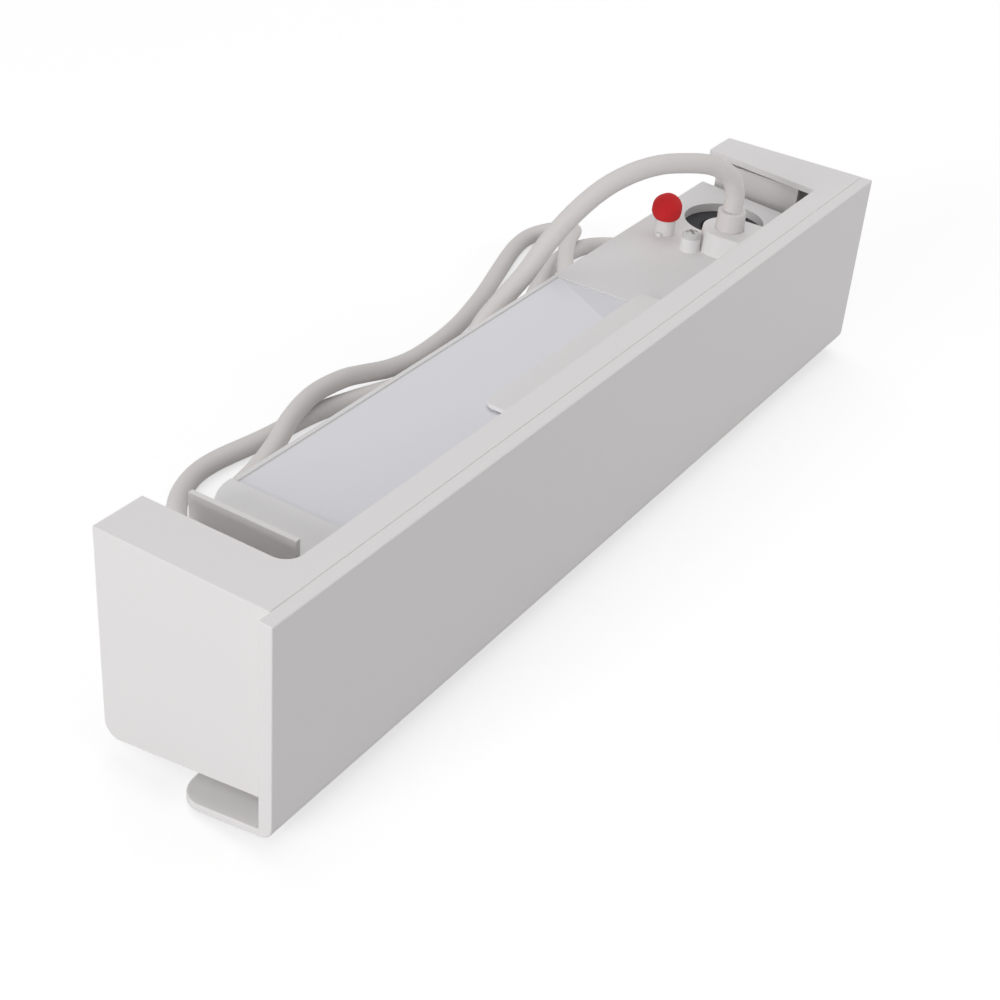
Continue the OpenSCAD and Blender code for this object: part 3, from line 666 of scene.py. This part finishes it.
@dataclass(frozen=True)
class Finishes:
    """Every finish on the pump, by the name that the record's slots use."""

    cover_white: Finish = Moulding("cover_white", (0.77, 0.745, 0.75), roughness=0.42)
    bracket_white: Finish = Moulding("bracket_white", (0.86, 0.83, 0.825), roughness=0.4)
    casing_white: Finish = Moulding("casing_white", (0.76, 0.73, 0.725), roughness=0.15,
                                    grain_depth=0.000002, coat=0.3)
    label_film: Finish = Film("label_film", (0.78, 0.78, 0.83))
    screw_steel: Finish = Metal("screw_steel", (0.5, 0.48, 0.46), roughness=0.14, lines=Axis.Z)
    rubber_grey: Finish = Rubber("rubber_grey", (0.09, 0.09, 0.095), (0.16, 0.15, 0.15))
    rubber_black: Finish = Rubber("rubber_black", (0.012, 0.011, 0.011), roughness=0.5)
    filter_mesh: Finish = Moulding("filter_mesh", (0.11, 0.055, 0.03), roughness=0.5)
    ivory_plastic: Finish = Moulding("ivory_plastic", (0.7, 0.64, 0.48), roughness=0.4)
    float_foam: Finish = Foam("float_foam", (0.8, 0.3, 0.06))
    magnet_dark: Finish = Metal("magnet_dark", (0.08, 0.08, 0.085), roughness=0.45, lines=Axis.Z)
    barrel_steel: Finish = Metal("barrel_steel", (0.6, 0.6, 0.61), roughness=0.2)
    piston_iron: Finish = Metal("piston_iron", (0.32, 0.31, 0.3), roughness=0.3)
    spring_steel: Finish = Metal("spring_steel", (0.55, 0.54, 0.52), roughness=0.25)
    valve_plastic: Finish = Moulding("valve_plastic", (0.05, 0.19, 0.5), roughness=0.38)
    copper_winding: Finish = Winding("copper_winding", (0.75, 0.27, 0.11))
    yoke_steel: Finish = Metal("yoke_steel", (0.42, 0.42, 0.42), roughness=0.36)
    clear_tube: Finish = ClearHose("clear_tube", (0.8, 0.82, 0.82))
    cap_red: Finish = Dipped("cap_red", (1.0, 0.008, 0.03))
    cable_pvc: Finish = Jacket("cable_pvc", (0.9, 0.87, 0.88))
    board_green: Finish = Laminate("board_green", (0.02, 0.2, 0.09))
    component_black: Finish = Moulding("component_black", (0.02, 0.02, 0.022), roughness=0.45)
    terminal_green: Finish = Moulding("terminal_green", (0.05, 0.32, 0.12), roughness=0.42)
    lead_brown: Finish = Jacket("lead_brown", (0.16, 0.055, 0.02))
    lead_blue: Finish = Jacket("lead_blue", (0.02, 0.13, 0.5))
    lead_grey: Finish = Jacket("lead_grey", (0.3, 0.3, 0.31))
    bare_copper: Finish = Metal("bare_copper", (0.8, 0.36, 0.16), roughness=0.3)


FINISH = Finishes()


# Workbench


class Bench:
    """Blender's own modelling tools, used on one piece at a time."""

    @staticmethod
    def alone(piece: Piece) -> None:
        """Select one piece only and make it the active one.

        Args:
            piece: The piece.
        """
        bpy.ops.object.select_all(action="DESELECT")
        piece.select_set(True)
        bpy.context.view_layer.objects.active = piece

    @staticmethod
    def edit() -> None:
        """Go into edit mode with everything selected."""
        bpy.ops.object.mode_set(mode="EDIT")
        bpy.ops.mesh.select_all(action="SELECT")

    @staticmethod
    def done() -> None:
        """Leave edit mode."""
        bpy.ops.object.mode_set(mode="OBJECT")

    @staticmethod
    def pick(piece: Piece, test: Callable[[Vector], bool]) -> None:
        """Select points of a piece in edit mode by their place.

        Args:
            piece: The piece in edit mode.
            test: Says from a point's place whether it is selected.
        """
        bpy.ops.mesh.select_mode(type="VERT")
        bpy.ops.mesh.select_all(action="DESELECT")
        form = bmesh.from_edit_mesh(piece.data)
        for point in form.verts:
            if test(point.co):
                point.select_set(True)
        form.select_flush(True)
        bmesh.update_edit_mesh(piece.data)

    @staticmethod
    def modifier(piece: Piece, kind: str, settings: Dict[str, object]) -> None:
        """Add a modifier to a piece and apply it.

        Args:
            piece: The piece.
            kind: Blender's type name of the modifier.
            settings: Its properties.
        """
        Bench.alone(piece)
        added = piece.modifiers.new(kind.title(), kind)
        for name, value in settings.items():
            setattr(added, name, value)
        bpy.ops.object.modifier_apply(modifier=added.name)

    @staticmethod
    def box(node: str) -> Tuple[Vector, Vector]:
        """Lowest and highest corner of a CAD node.

        Args:
            node: The CAD node.

        Returns:
            The two corners in metres.
        """
        piece = frame["nodes"][node]
        corners = [piece.matrix_world @ Vector(c) for c in piece.bound_box]
        return (Vector([min(c[i] for c in corners) for i in range(3)]),
                Vector([max(c[i] for c in corners) for i in range(3)]))

    @staticmethod
    def turned(outline: Sequence[Tuple[float, float]], middle: Vector, sides: int) -> Piece:
        """Turn an outline about an upright axis, ring by ring, and close both ends.

        Args:
            outline: Radius and height of each ring, from one end to the other.
            middle: Any point on the axis.
            sides: Number of sides of a ring.

        Returns:
            The piece.
        """
        radius, height = outline[0]
        bpy.ops.mesh.primitive_circle_add(
            vertices=sides, radius=radius, fill_type="NGON", location=(middle.x, middle.y, height)
        )
        piece = bpy.context.view_layer.objects.active
        Bench.alone(piece)
        bpy.ops.object.transform_apply(location=True, rotation=True, scale=True)
        Bench.edit()
        bpy.ops.mesh.select_mode(type="EDGE")
        for (r, z), (r_next, z_next) in zip(outline, outline[1:]):
            bpy.ops.mesh.extrude_edges_move(TRANSFORM_OT_translate={"value": (0, 0, z_next - z)})
            bpy.ops.transform.resize(
                value=(r_next / r, r_next / r, 1), center_override=(middle.x, middle.y, z_next)
            )
        bpy.ops.mesh.edge_face_add()
        bpy.ops.mesh.select_all(action="SELECT")
        bpy.ops.mesh.normals_make_consistent(inside=False)
        Bench.done()
        return piece

    @staticmethod
    def clouds(name: str, width: float) -> bpy.types.Texture:
        """Cloudy relief for a displace modifier.

        Args:
            name: Its name.
            width: Width of its blots in metres.

        Returns:
            The texture.
        """
        made = bpy.data.textures.new(name, "CLOUDS")
        made.noise_scale = width
        made.noise_depth = 1
        return made

    @staticmethod
    def settle(piece: Piece, name: str, finish: Finish, smooth: float = 35.0) -> Piece:
        """Bake the piece's place into its mesh, smooth it and give it one finish.

        Args:
            piece: The piece.
            name: Its name.
            finish: Its finish.
            smooth: Largest angle that is shaded smooth, in degrees.

        Returns:
            The piece.
        """
        Bench.alone(piece)
        bpy.ops.object.transform_apply(location=True, rotation=True, scale=True)
        bpy.ops.object.shade_smooth_by_angle(angle=math.radians(smooth))
        piece.name = name
        piece.data.name = name
        piece.data.materials.clear()
        piece.data.materials.append(finish.material())
        return piece

    @staticmethod
    def softened(node: str, name: str, finish: Finish, width: float, segments: int = 3) -> Piece:
        """Copy a CAD node and round its edges.

        Args:
            node: The CAD node.
            name: Name of the new piece.
            finish: Its finish.
            width: Width of the rounding in metres.
            segments: Steps in the rounding.

        Returns:
            The new piece, which stands for the node.
        """
        Bench.alone(frame["nodes"][node])
        bpy.ops.object.duplicate()
        piece = bpy.context.view_layer.objects.active
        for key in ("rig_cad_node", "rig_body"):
            del piece[key]
        bpy.ops.object.parent_clear(type="CLEAR")
        Bench.edit()
        bpy.ops.mesh.remove_doubles(threshold=WELD_GAP)
        bpy.ops.mesh.dissolve_limited(angle_limit=FLAT_ANGLE)
        Bench.done()
        Bench.modifier(piece, "BEVEL", {
            "width": width, "segments": segments, "limit_method": "ANGLE",
            "angle_limit": EDGE_ANGLE, "harden_normals": False,
            "miter_outer": "MITER_ARC",
        })
        Bench.settle(piece, name, finish)
        Bench.modifier(piece, "WEIGHTED_NORMAL", {"keep_sharp": True, "weight": FACE_WEIGHT})
        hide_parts(node)
        return piece

    @staticmethod
    def paint(node: str, finish: Finish) -> Piece:
        """Give a CAD node that stays as it is a finish.

        Args:
            node: The CAD node.
            finish: Its finish.

        Returns:
            The node's object.
        """
        piece = frame["nodes"][node]
        for place in piece.material_slots:
            place.material = finish.material()
        return piece


# Sub-assemblies


@dataclass
class Cover:
    """White slide-on cover: a body open at the bottom and back, and its front fascia."""

    body_edge: float = 0.25 * MM
    fascia_edge: float = 0.5 * MM

    def build(self) -> List[Piece]:
        """Round the body's and the fascia's edges and finish them.

        Returns:
            The two pieces, which slide with the cover.
        """
        body = Bench.softened("cover_body", "cover_shell", FINISH.cover_white, self.body_edge)
        fascia = Bench.softened("front_fascia", "fascia_panel", FINISH.cover_white,
                                self.fascia_edge)
        return [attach(body, "cover"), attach(fascia, "cover")]


@dataclass
class Bracket:
    """Wall bracket with its shelf, two tabs and ears, and the pads that the pump rests on."""

    edge: float = 0.35 * MM
    pad_edge: float = 0.5 * MM

    def build(self) -> List[Piece]:
        """Round the bracket's and the pads' edges and finish them.

        Returns:
            The pieces, fixed to the wall.
        """
        plate = Bench.softened("wall_bracket", "bracket_plate", FINISH.bracket_white, self.edge)
        pads = Bench.softened("isolation_pads", "rubber_pads", FINISH.rubber_grey, self.pad_edge)
        return [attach(plate, "pump"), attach(pads, "pump")]


@dataclass
class PumpUnit:
    """Casing with its lid, the label in the lid's recess and the screw that holds the lid."""

    casing_edge: float = 0.5 * MM
    lid_edge: float = 0.3 * MM
    shank: float = 1.2 * MM
    head: float = 2.0 * MM
    rim_share: float = 0.3
    recess: float = 1.1 * MM
    slot: float = 0.85 * MM
    slot_reach: float = 3.6 * MM
    slot_turns: Tuple[float, float] = (45.0, 135.0)
    overcut: float = 1.2
    dome_turns: Sequence[int] = range(0, 90, 10)
    sides: int = 40
    crease_start: Point = (40.3 * MM, 24.0 * MM, 51.7 * MM)
    crease_end: Point = (26.6 * MM, 1.6 * MM, 51.7 * MM)
    crease_half: float = 0.9 * MM
    crease_rise: float = 0.16 * MM
    crease_smooth: float = 20.0
    top_skin: float = 0.01 * MM

    def build(self) -> List[Piece]:
        """Make the casing, the lid, the label and the screw.

        Returns:
            The pieces of the pump's housing.
        """
        casing = Bench.softened("pump_casing", "casing_tub", FINISH.casing_white, self.casing_edge)
        lid = Bench.softened("casing_lid", "lid_moulding", FINISH.casing_white, self.lid_edge)
        return [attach(p, "pump") for p in (casing, lid, self._screw(), self._label())]

    def _screw(self) -> Piece:
        """Screw with a domed head and a cross recess.

        Returns:
            The screw, which stands for its CAD node.
        """
        low, high = Bench.box("lid_screw")
        middle = (low + high) / 2
        radius = (high.x - low.x) / 2
        seat = high.z - self.head
        rim = seat + self.head * self.rim_share
        outline = [(self.shank * POLE_SHARE, low.z), (self.shank, low.z), (self.shank, seat),
                   (radius, seat)]
        for turn in self.dome_turns:
            angle = math.radians(turn)
            outline.append((radius * math.cos(angle), rim + (high.z - rim) * math.sin(angle)))
        screw = Bench.turned(outline, middle, self.sides)
        for turn in self.slot_turns:
            bpy.ops.mesh.primitive_cube_add(
                size=1.0, location=(middle.x, middle.y, high.z - self.recess / 2),
                rotation=(0, 0, math.radians(turn)),
                scale=(self.slot_reach, self.slot, self.recess * self.overcut),
            )
            cutter = bpy.context.view_layer.objects.active
            Bench.modifier(screw, "BOOLEAN", {"object": cutter, "operation": "DIFFERENCE",
                                              "solver": "EXACT"})
            bpy.data.objects.remove(cutter)
        Bench.settle(screw, "cross_screw", FINISH.screw_steel)
        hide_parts("lid_screw")
        return screw

    def _label(self) -> Piece:
        """Label film with a fold across its right end.

        Returns:
            The label, which stands for its CAD node.
        """
        low, high = Bench.box("rating_label")
        bpy.ops.mesh.primitive_cube_add(size=1.0, location=(low + high) / 2, scale=high - low)
        label = bpy.context.view_layer.objects.active
        Bench.alone(label)
        bpy.ops.object.transform_apply(location=True, rotation=True, scale=True)
        start, end = Vector(self.crease_start), Vector(self.crease_end)
        across = (end - start).cross(Vector((0, 0, 1))).normalized()
        Bench.edit()
        for off in (-self.crease_half, 0.0, self.crease_half):
            bpy.ops.mesh.select_all(action="SELECT")
            bpy.ops.mesh.bisect(plane_co=start + across * off, plane_no=across)
        Bench.pick(label, lambda place: (
            abs((place - start).dot(across)) < self.crease_half / 2
            and place.z > high.z - self.top_skin))
        bpy.ops.transform.translate(value=(0, 0, self.crease_rise))
        Bench.done()
        Bench.settle(label, "label_film", FINISH.label_film, self.crease_smooth)
        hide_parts("rating_label")
        return label


@dataclass
class Inlet:
    """Rubber seal, filter basket and the float on its stem below the inlet."""

    seal_edge: float = 0.5 * MM

    def build(self) -> List[Piece]:
        """Finish the seal, the filter and the float with its guide.

        Returns:
            The pieces of the inlet.
        """
        seal = Bench.softened("inlet_seal", "seal_ring", FINISH.rubber_black, self.seal_edge)
        return [
            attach(seal, "pump"),
            Bench.paint("inlet_filter", FINISH.filter_mesh),
            Bench.paint("float_guide", FINISH.ivory_plastic),
            Bench.paint("level_sensor", FINISH.component_black),
            Bench.paint("float_body", FINISH.float_foam),
            Bench.paint("float_magnet", FINISH.magnet_dark),
        ]


@dataclass
class Outlet:
    """Discharge spigot and the dipped cap that closes it until the hose is fitted."""

    spigot_edge: float = 0.3 * MM
    bore: float = 3.25 * MM
    crown: float = 3.6 * MM
    lump: float = 0.35 * MM
    lump_width: float = 3.0 * MM
    last_turn: float = 86.0
    rings: int = 22
    sides: int = 56
    smooth: float = 60.0

    def build(self) -> List[Piece]:
        """Make the spigot and its cap.

        Returns:
            The two pieces.
        """
        spigot = Bench.softened("discharge_spigot", "hose_spigot", FINISH.casing_white,
                                self.spigot_edge)
        return [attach(spigot, "pump"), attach(self._cap(), "cap")]

    def _cap(self) -> Piece:
        """Dipped cap: a bored cylinder with a domed crown, a rolled rim and lumps.

        Returns:
            The cap, which stands for its CAD node.
        """
        low, high = Bench.box("spigot_cap")
        middle = (low + high) / 2
        radius = (high.x - low.x) / 2 - self.lump
        centre = high.z - self.lump - radius
        foot, roof = low.z + self.lump, high.z - self.crown
        sunk = math.degrees(math.asin((foot - centre) / radius))
        outline = [(self.bore * POLE_SHARE, roof), (self.bore, roof), (self.bore, foot)]
        for k in range(self.rings):
            turn = math.radians(sunk + (self.last_turn - sunk) * k / (self.rings - 1))
            outline.append((radius * math.cos(turn), centre + radius * math.sin(turn)))
        cap = Bench.turned(outline, middle, self.sides)
        Bench.edit()
        Bench.pick(cap, lambda place: (
            (place - middle).xy.length > self.bore + self.lump or place.z > roof + self.lump))
        bpy.ops.object.vertex_group_add()
        bpy.ops.object.vertex_group_assign()
        Bench.done()
        Bench.modifier(cap, "DISPLACE", {
            "texture": Bench.clouds("cap_lumps", self.lump_width), "texture_coords": "LOCAL",
            "strength": self.lump, "mid_level": 0.5, "vertex_group": cap.vertex_groups[0].name,
        })
        cap.vertex_groups.clear()
        Bench.settle(cap, "dipped_cap", FINISH.cap_red, self.smooth)
        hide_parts("spigot_cap")
        return cap


@dataclass
class Mechanism:
    """Reciprocating pump: piston in its barrel, springs, valves, coil, yoke and tubes."""

    def build(self) -> List[Piece]:
        """Finish every piece of the mechanism.

        Returns:
            The pieces.
        """
        return [
            Bench.paint("pump_barrel", FINISH.barrel_steel),
            Bench.paint("piston", FINISH.piston_iron),
            Bench.paint("main_spring", FINISH.spring_steel),
            Bench.paint("buffer_spring", FINISH.spring_steel),
            Bench.paint("inlet_valve_block", FINISH.valve_plastic),
            Bench.paint("outlet_valve_block", FINISH.valve_plastic),
            Bench.paint("valve_discs", FINISH.rubber_black),
            Bench.paint("barrel_seals", FINISH.rubber_black),
            Bench.paint("coil_bobbin", FINISH.ivory_plastic),
            Bench.paint("coil_winding", FINISH.copper_winding),
            Bench.paint("coil_yoke", FINISH.yoke_steel),
            Bench.paint("thermal_cutout", FINISH.component_black),
            Bench.paint("suction_tube", FINISH.clear_tube),
            Bench.paint("discharge_tube", FINISH.clear_tube),
        ]


@dataclass
class Electronics:
    """Control board with its components, the terminal block and the supply leads."""

    def build(self) -> List[Piece]:
        """Finish the board and what it carries.

        Returns:
            The pieces.
        """
        return [
            Bench.paint("control_board", FINISH.board_green),
            Bench.paint("board_components", FINISH.component_black),
            Bench.paint("terminal_block", FINISH.terminal_green),
            Bench.paint("supply_leads", FINISH.lead_grey),
        ]


@dataclass
class SupplyCord:
    """Supply cord from its collar to its bare end, along the route that the CAD model has."""

    diameter: float = 5.9 * MM
    step: float = 3.0 * MM
    sides_quarter: int = 5
    collar_edge: float = 0.35 * MM
    # In millimetres, from the cord's exit at the collar
    route: Tuple[Point, ...] = (
        (91.2, -4.7, 64.6), (91.2, -4.7, 70.5), (89.7, -3.7, 74.6), (86.8, -1.7, 77.8),
        (82.8, 0.9, 80), (76, 5.5, 81.2), (68.9, 10.4, 81.4), (61.5, 15.4, 79.6),
        (54.3, 20.2, 75.7), (47.5, 24.8, 69.2), (41.3, 28.9, 61.1), (35, 32.4, 51.6),
        (28.2, 34.8, 45.6), (20, 36.2, 40), (8, 36.5, 28), (-6, 35.8, 15.6), (-20, 34.9, 7.6),
        (-36, 34.3, 3.8), (-54, 35, 3.1), (-69, 40.5, 3.1), (-76.5, 51.5, 3.1), (-74.5, 66, 3.1),
        (-65.5, 77, 3.1), (-52.8, 83.6, 3.1), (-41.7, 84.9, 3.1), (-22.9, 82.1, 3.1),
        (-1.3, 80, 3.1), (14, 75.6, 3.1), (30, 70, 3.1), (50, 66, 3.1), (80, 64.8, 3.1),
        (100, 68.4, 3.1), (131.2, 78.9, 3.1), (148, 80.6, 3.1), (160, 77, 3.1), (167, 66, 3.1),
        (163.5, 54.5, 3.1), (152, 48, 3.1), (130, 46.2, 3.1), (60, 45, 3.1), (-52, 44, 3.1),
        (-59.6, 46, 3.1), (-64.8, 50.8, 3.1), (-66.4, 57, 3.1), (-64, 63, 3.1),
        (-58.6, 67.2, 3.4), (-50, 69.2, 4.4), (-39, 70.3, 6.2), (-28.6, 72.6, 7.9),
        (-15.4, 77.2, 9.3), (-1.3, 80.4, 9.6), (13.7, 80.4, 8.6), (23.1, 79.2, 6.8),
        (34, 77.6, 4.6), (48, 76.9, 3.2), (72, 78.9, 3.1), (96.8, 84.7, 3.1), (117.5, 91.3, 3.1),
        (136.7, 97.2, 3.1), (147.5, 99, 3.1), (153.8, 98, 3.3), (158.2, 94.6, 4.2),
        (159.6, 89.8, 5.7), (157.6, 85, 7.6), (152, 81.8, 9.4), (144, 79, 9.9), (133, 73.4, 8.8),
        (123, 67, 5.6), (113, 60.6, 3.4), (103, 56.6, 3.1), (92, 55.6, 3.1),
    )

    def _slope(self, i: int) -> Vector:
        """Direction of the cord at a point of its route.

        Args:
            i: The point's number, from 0 at the collar.

        Returns:
            The direction, one unit long.
        """
        if i == 0:
            return Vector((0.0, 0.0, 1.0))
        after = Vector(self.route[min(i + 1, len(self.route) - 1)])
        return (after - Vector(self.route[i - 1])).normalized()

    def points(self) -> List[Vector]:
        """Smooth centreline through the route.

        Returns:
            Points in metres, about one step apart.
        """
        line: List[Vector] = []
        for i in range(len(self.route) - 1):
            a, b = Vector(self.route[i]), Vector(self.route[i + 1])
            gap = (b - a).length
            count = max(1, round(gap * MM / self.step))
            start, end = self._slope(i) * gap, self._slope(i + 1) * gap
            for k in range(count):
                t = k / count
                line.append(
                    a * (1 + 2 * t) * (1 - t) ** 2
                    + start * t * (1 - t) ** 2
                    + b * t * t * (3 - 2 * t)
                    + end * t * t * (t - 1)
                )
        line.append(Vector(self.route[-1]))
        return [p * MM for p in line]

    def _jacket(self, line: List[Vector]) -> Piece:
        """Round tube along the centreline.

        Args:
            line: The centreline's points.

        Returns:
            The cord's jacket as a mesh.
        """
        curve = bpy.data.curves.new("cord_line", "CURVE")
        curve.dimensions = "3D"
        curve.bevel_depth = self.diameter / 2
        curve.bevel_resolution = self.sides_quarter
        curve.use_fill_caps = True
        spline = curve.splines.new("POLY")
        spline.points.add(len(line) - 1)
        for point, place in zip(spline.points, line):
            point.co = (*place, 1.0)
        spline.use_smooth = True
        piece = bpy.data.objects.new("cord_jacket", curve)
        bpy.context.scene.collection.objects.link(piece)
        Bench.alone(piece)
        bpy.ops.object.convert(target="MESH")
        piece = bpy.context.view_layer.objects.active
        Bench.edit()
        bpy.ops.mesh.remove_doubles(threshold=WELD_GAP)
        bpy.ops.mesh.normals_make_consistent(inside=False)
        Bench.done()
        return Bench.settle(piece, "cord_jacket", FINISH.cable_pvc)

    def build(self) -> List[Piece]:
        """Make the collar, the jacket and the bare end's cores.

        Returns:
            The pieces of the cord.
        """
        collar = Bench.softened("cable_collar", "cord_collar", FINISH.cable_pvc, self.collar_edge)
        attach(collar, "pump")
        line = self.points()
        jacket = self._jacket(line)
        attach(jacket, "pump")
        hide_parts("power_cord")
        cores = [
            Bench.paint("tail_brown", FINISH.lead_brown),
            Bench.paint("tail_blue", FINISH.lead_blue),
            Bench.paint("tail_black", FINISH.component_black),
            Bench.paint("tail_grey", FINISH.lead_grey),
            Bench.paint("tail_ends", FINISH.bare_copper),
        ]
        length = sum((b - a).length for a, b in zip(line, line[1:]))
        return [collar, jacket, *cores]


# Studio


@dataclass(frozen=True)
class Lamp:
    """A soft square lamp that looks at a point."""

    name: str
    place: Point
    aim: Point
    size: float
    power: float
    colour: Colour = (1.0, 1.0, 1.0)

    def hang(self) -> None:
        """Add the lamp to the scene."""
        bpy.ops.object.light_add(type="AREA", location=self.place)
        lamp = bpy.context.view_layer.objects.active
        lamp.name = self.name
        lamp.data.shape = "SQUARE"
        lamp.data.size = self.size
        lamp.data.energy = self.power
        lamp.data.color = self.colour
        toward = Vector(self.aim) - Vector(self.place)
        lamp.rotation_euler = toward.to_track_quat("-Z", "Y").to_euler()


@dataclass
class Studio:
    """Pale floor, white surroundings, soft lamps and the camera."""

    floor_size: float = 2.0
    floor_drop: float = 0.1 * MM
    floor_grey: float = 0.55
    floor_glow: float = 0.6
    world_fill: float = 0.42
    clip: Span = (0.01, 20.0)
    eye: Point = (-0.36128, -0.19831, 0.27216)
    eye_turn: Point = (56.8014, -4.2598, -56.8522)
    lens: float = 62.76
    sensor: float = 36.0
    lamps: Tuple[Lamp, ...] = (
        Lamp("lamp_left", (-1.45, 0.15, 0.42), (0.0, 0.0, 0.03), 0.6, 8.5),
        Lamp("lamp_top", (0.6, 0.3, 1.4), (0.0, 0.0, 0.03), 1.2, 4.6),
        Lamp("lamp_right", (1.1, -1.1, 0.4), (0.08, 0.0, 0.03), 0.8, 4.6),
        Lamp("glint_left", (-0.75, -0.35, 0.95), (0.05, 0.0, 0.03), 0.2, 1.0),
    )

    @staticmethod
    def _background(board: Board) -> Wire:
        """Tell rays that see the surroundings from rays that light the object.

        Args:
            board: The nodes that the answer is added to.

        Returns:
            One for rays that see the surroundings, and zero for the others.
        """
        path = board.node("ShaderNodeLightPath")
        seen = Wire(board, path.outputs["Is Camera Ray"])
        for name in ("Is Glossy Ray", "Is Transmission Ray"):
            seen = seen.larger(Wire(board, path.outputs[name]))
        return seen

    def surround(self) -> None:
        """White surroundings for the eye, softer ones for the light."""
        world = bpy.context.scene.world or bpy.data.worlds.new("surroundings")
        bpy.context.scene.world = world
        world.use_nodes = True
        board = Board(world.node_tree, "ShaderNodeOutputWorld")
        pure = (1.0, 1.0, 1.0, 1.0)
        light = board.node("ShaderNodeBackground", {}, {0: pure, 1: self.world_fill})
        white = board.node("ShaderNodeBackground", {}, {0: pure, 1: 1.0})
        both = board.node("ShaderNodeMixShader", {}, {
            0: self._background(board), 1: light.outputs[0], 2: white.outputs[0],
        })
        board.tree.links.new(both.outputs[0], board.output.inputs[0])

    def floor(self) -> Piece:
        """Pale floor that keeps the object's shadow.

        Returns:
            The floor.
        """
        bpy.ops.mesh.primitive_plane_add(size=self.floor_size, location=(0, 0, -self.floor_drop))
        plane = bpy.context.view_layer.objects.active
        made = bpy.data.materials.new("pale_floor")
        made.use_nodes = True
        board = Board(made.node_tree, "ShaderNodeOutputMaterial")
        grey, pure = (*[self.floor_grey] * 3, 1.0), (1.0, 1.0, 1.0, 1.0)
        matt = board.node("ShaderNodeBsdfDiffuse", {}, {0: grey})
        glow = board.node("ShaderNodeEmission", {}, {0: pure, 1: self.floor_glow})
        lifted = board.node("ShaderNodeAddShader", {}, {0: matt.outputs[0], 1: glow.outputs[0]})
        both = board.node("ShaderNodeMixShader", {}, {
            0: self._background(board), 1: matt.outputs[0], 2: lifted.outputs[0],
        })
        board.tree.links.new(both.outputs[0], board.output.inputs[0])
        plane.name = "floor"
        plane.data.materials.append(made)
        return plane

    def camera(self) -> Piece:
        """The camera at the photograph's place.

        Returns:
            The camera.
        """
        bpy.ops.object.camera_add(
            location=self.eye, rotation=[math.radians(a) for a in self.eye_turn]
        )
        camera = bpy.context.view_layer.objects.active
        camera.data.lens = self.lens
        camera.data.sensor_width = self.sensor
        camera.data.clip_start, camera.data.clip_end = self.clip
        bpy.context.scene.camera = camera
        return camera

    def build(self) -> None:
        """Set up the surroundings, the floor, the lamps and the camera."""
        bpy.context.scene.view_settings.view_transform = "Standard"
        self.surround()
        self.floor()
        for lamp in self.lamps:
            lamp.hang()
        self.camera()


def main() -> None:
    """Build the studio and every sub-assembly in order, and report each piece."""
    logging.basicConfig(level=logging.INFO, format="%(name)s: %(message)s")
    Studio().build()
    for part in (SupplyCord(), Cover(), Bracket(), PumpUnit(), Inlet(), Outlet(), Mechanism(),
                 Electronics()):
        for piece in part.build():
            log.info("%s: %s, %d faces", type(part).__name__, piece.name,
                     len(piece.data.polygons))


if __name__ == "__main__":
    main()
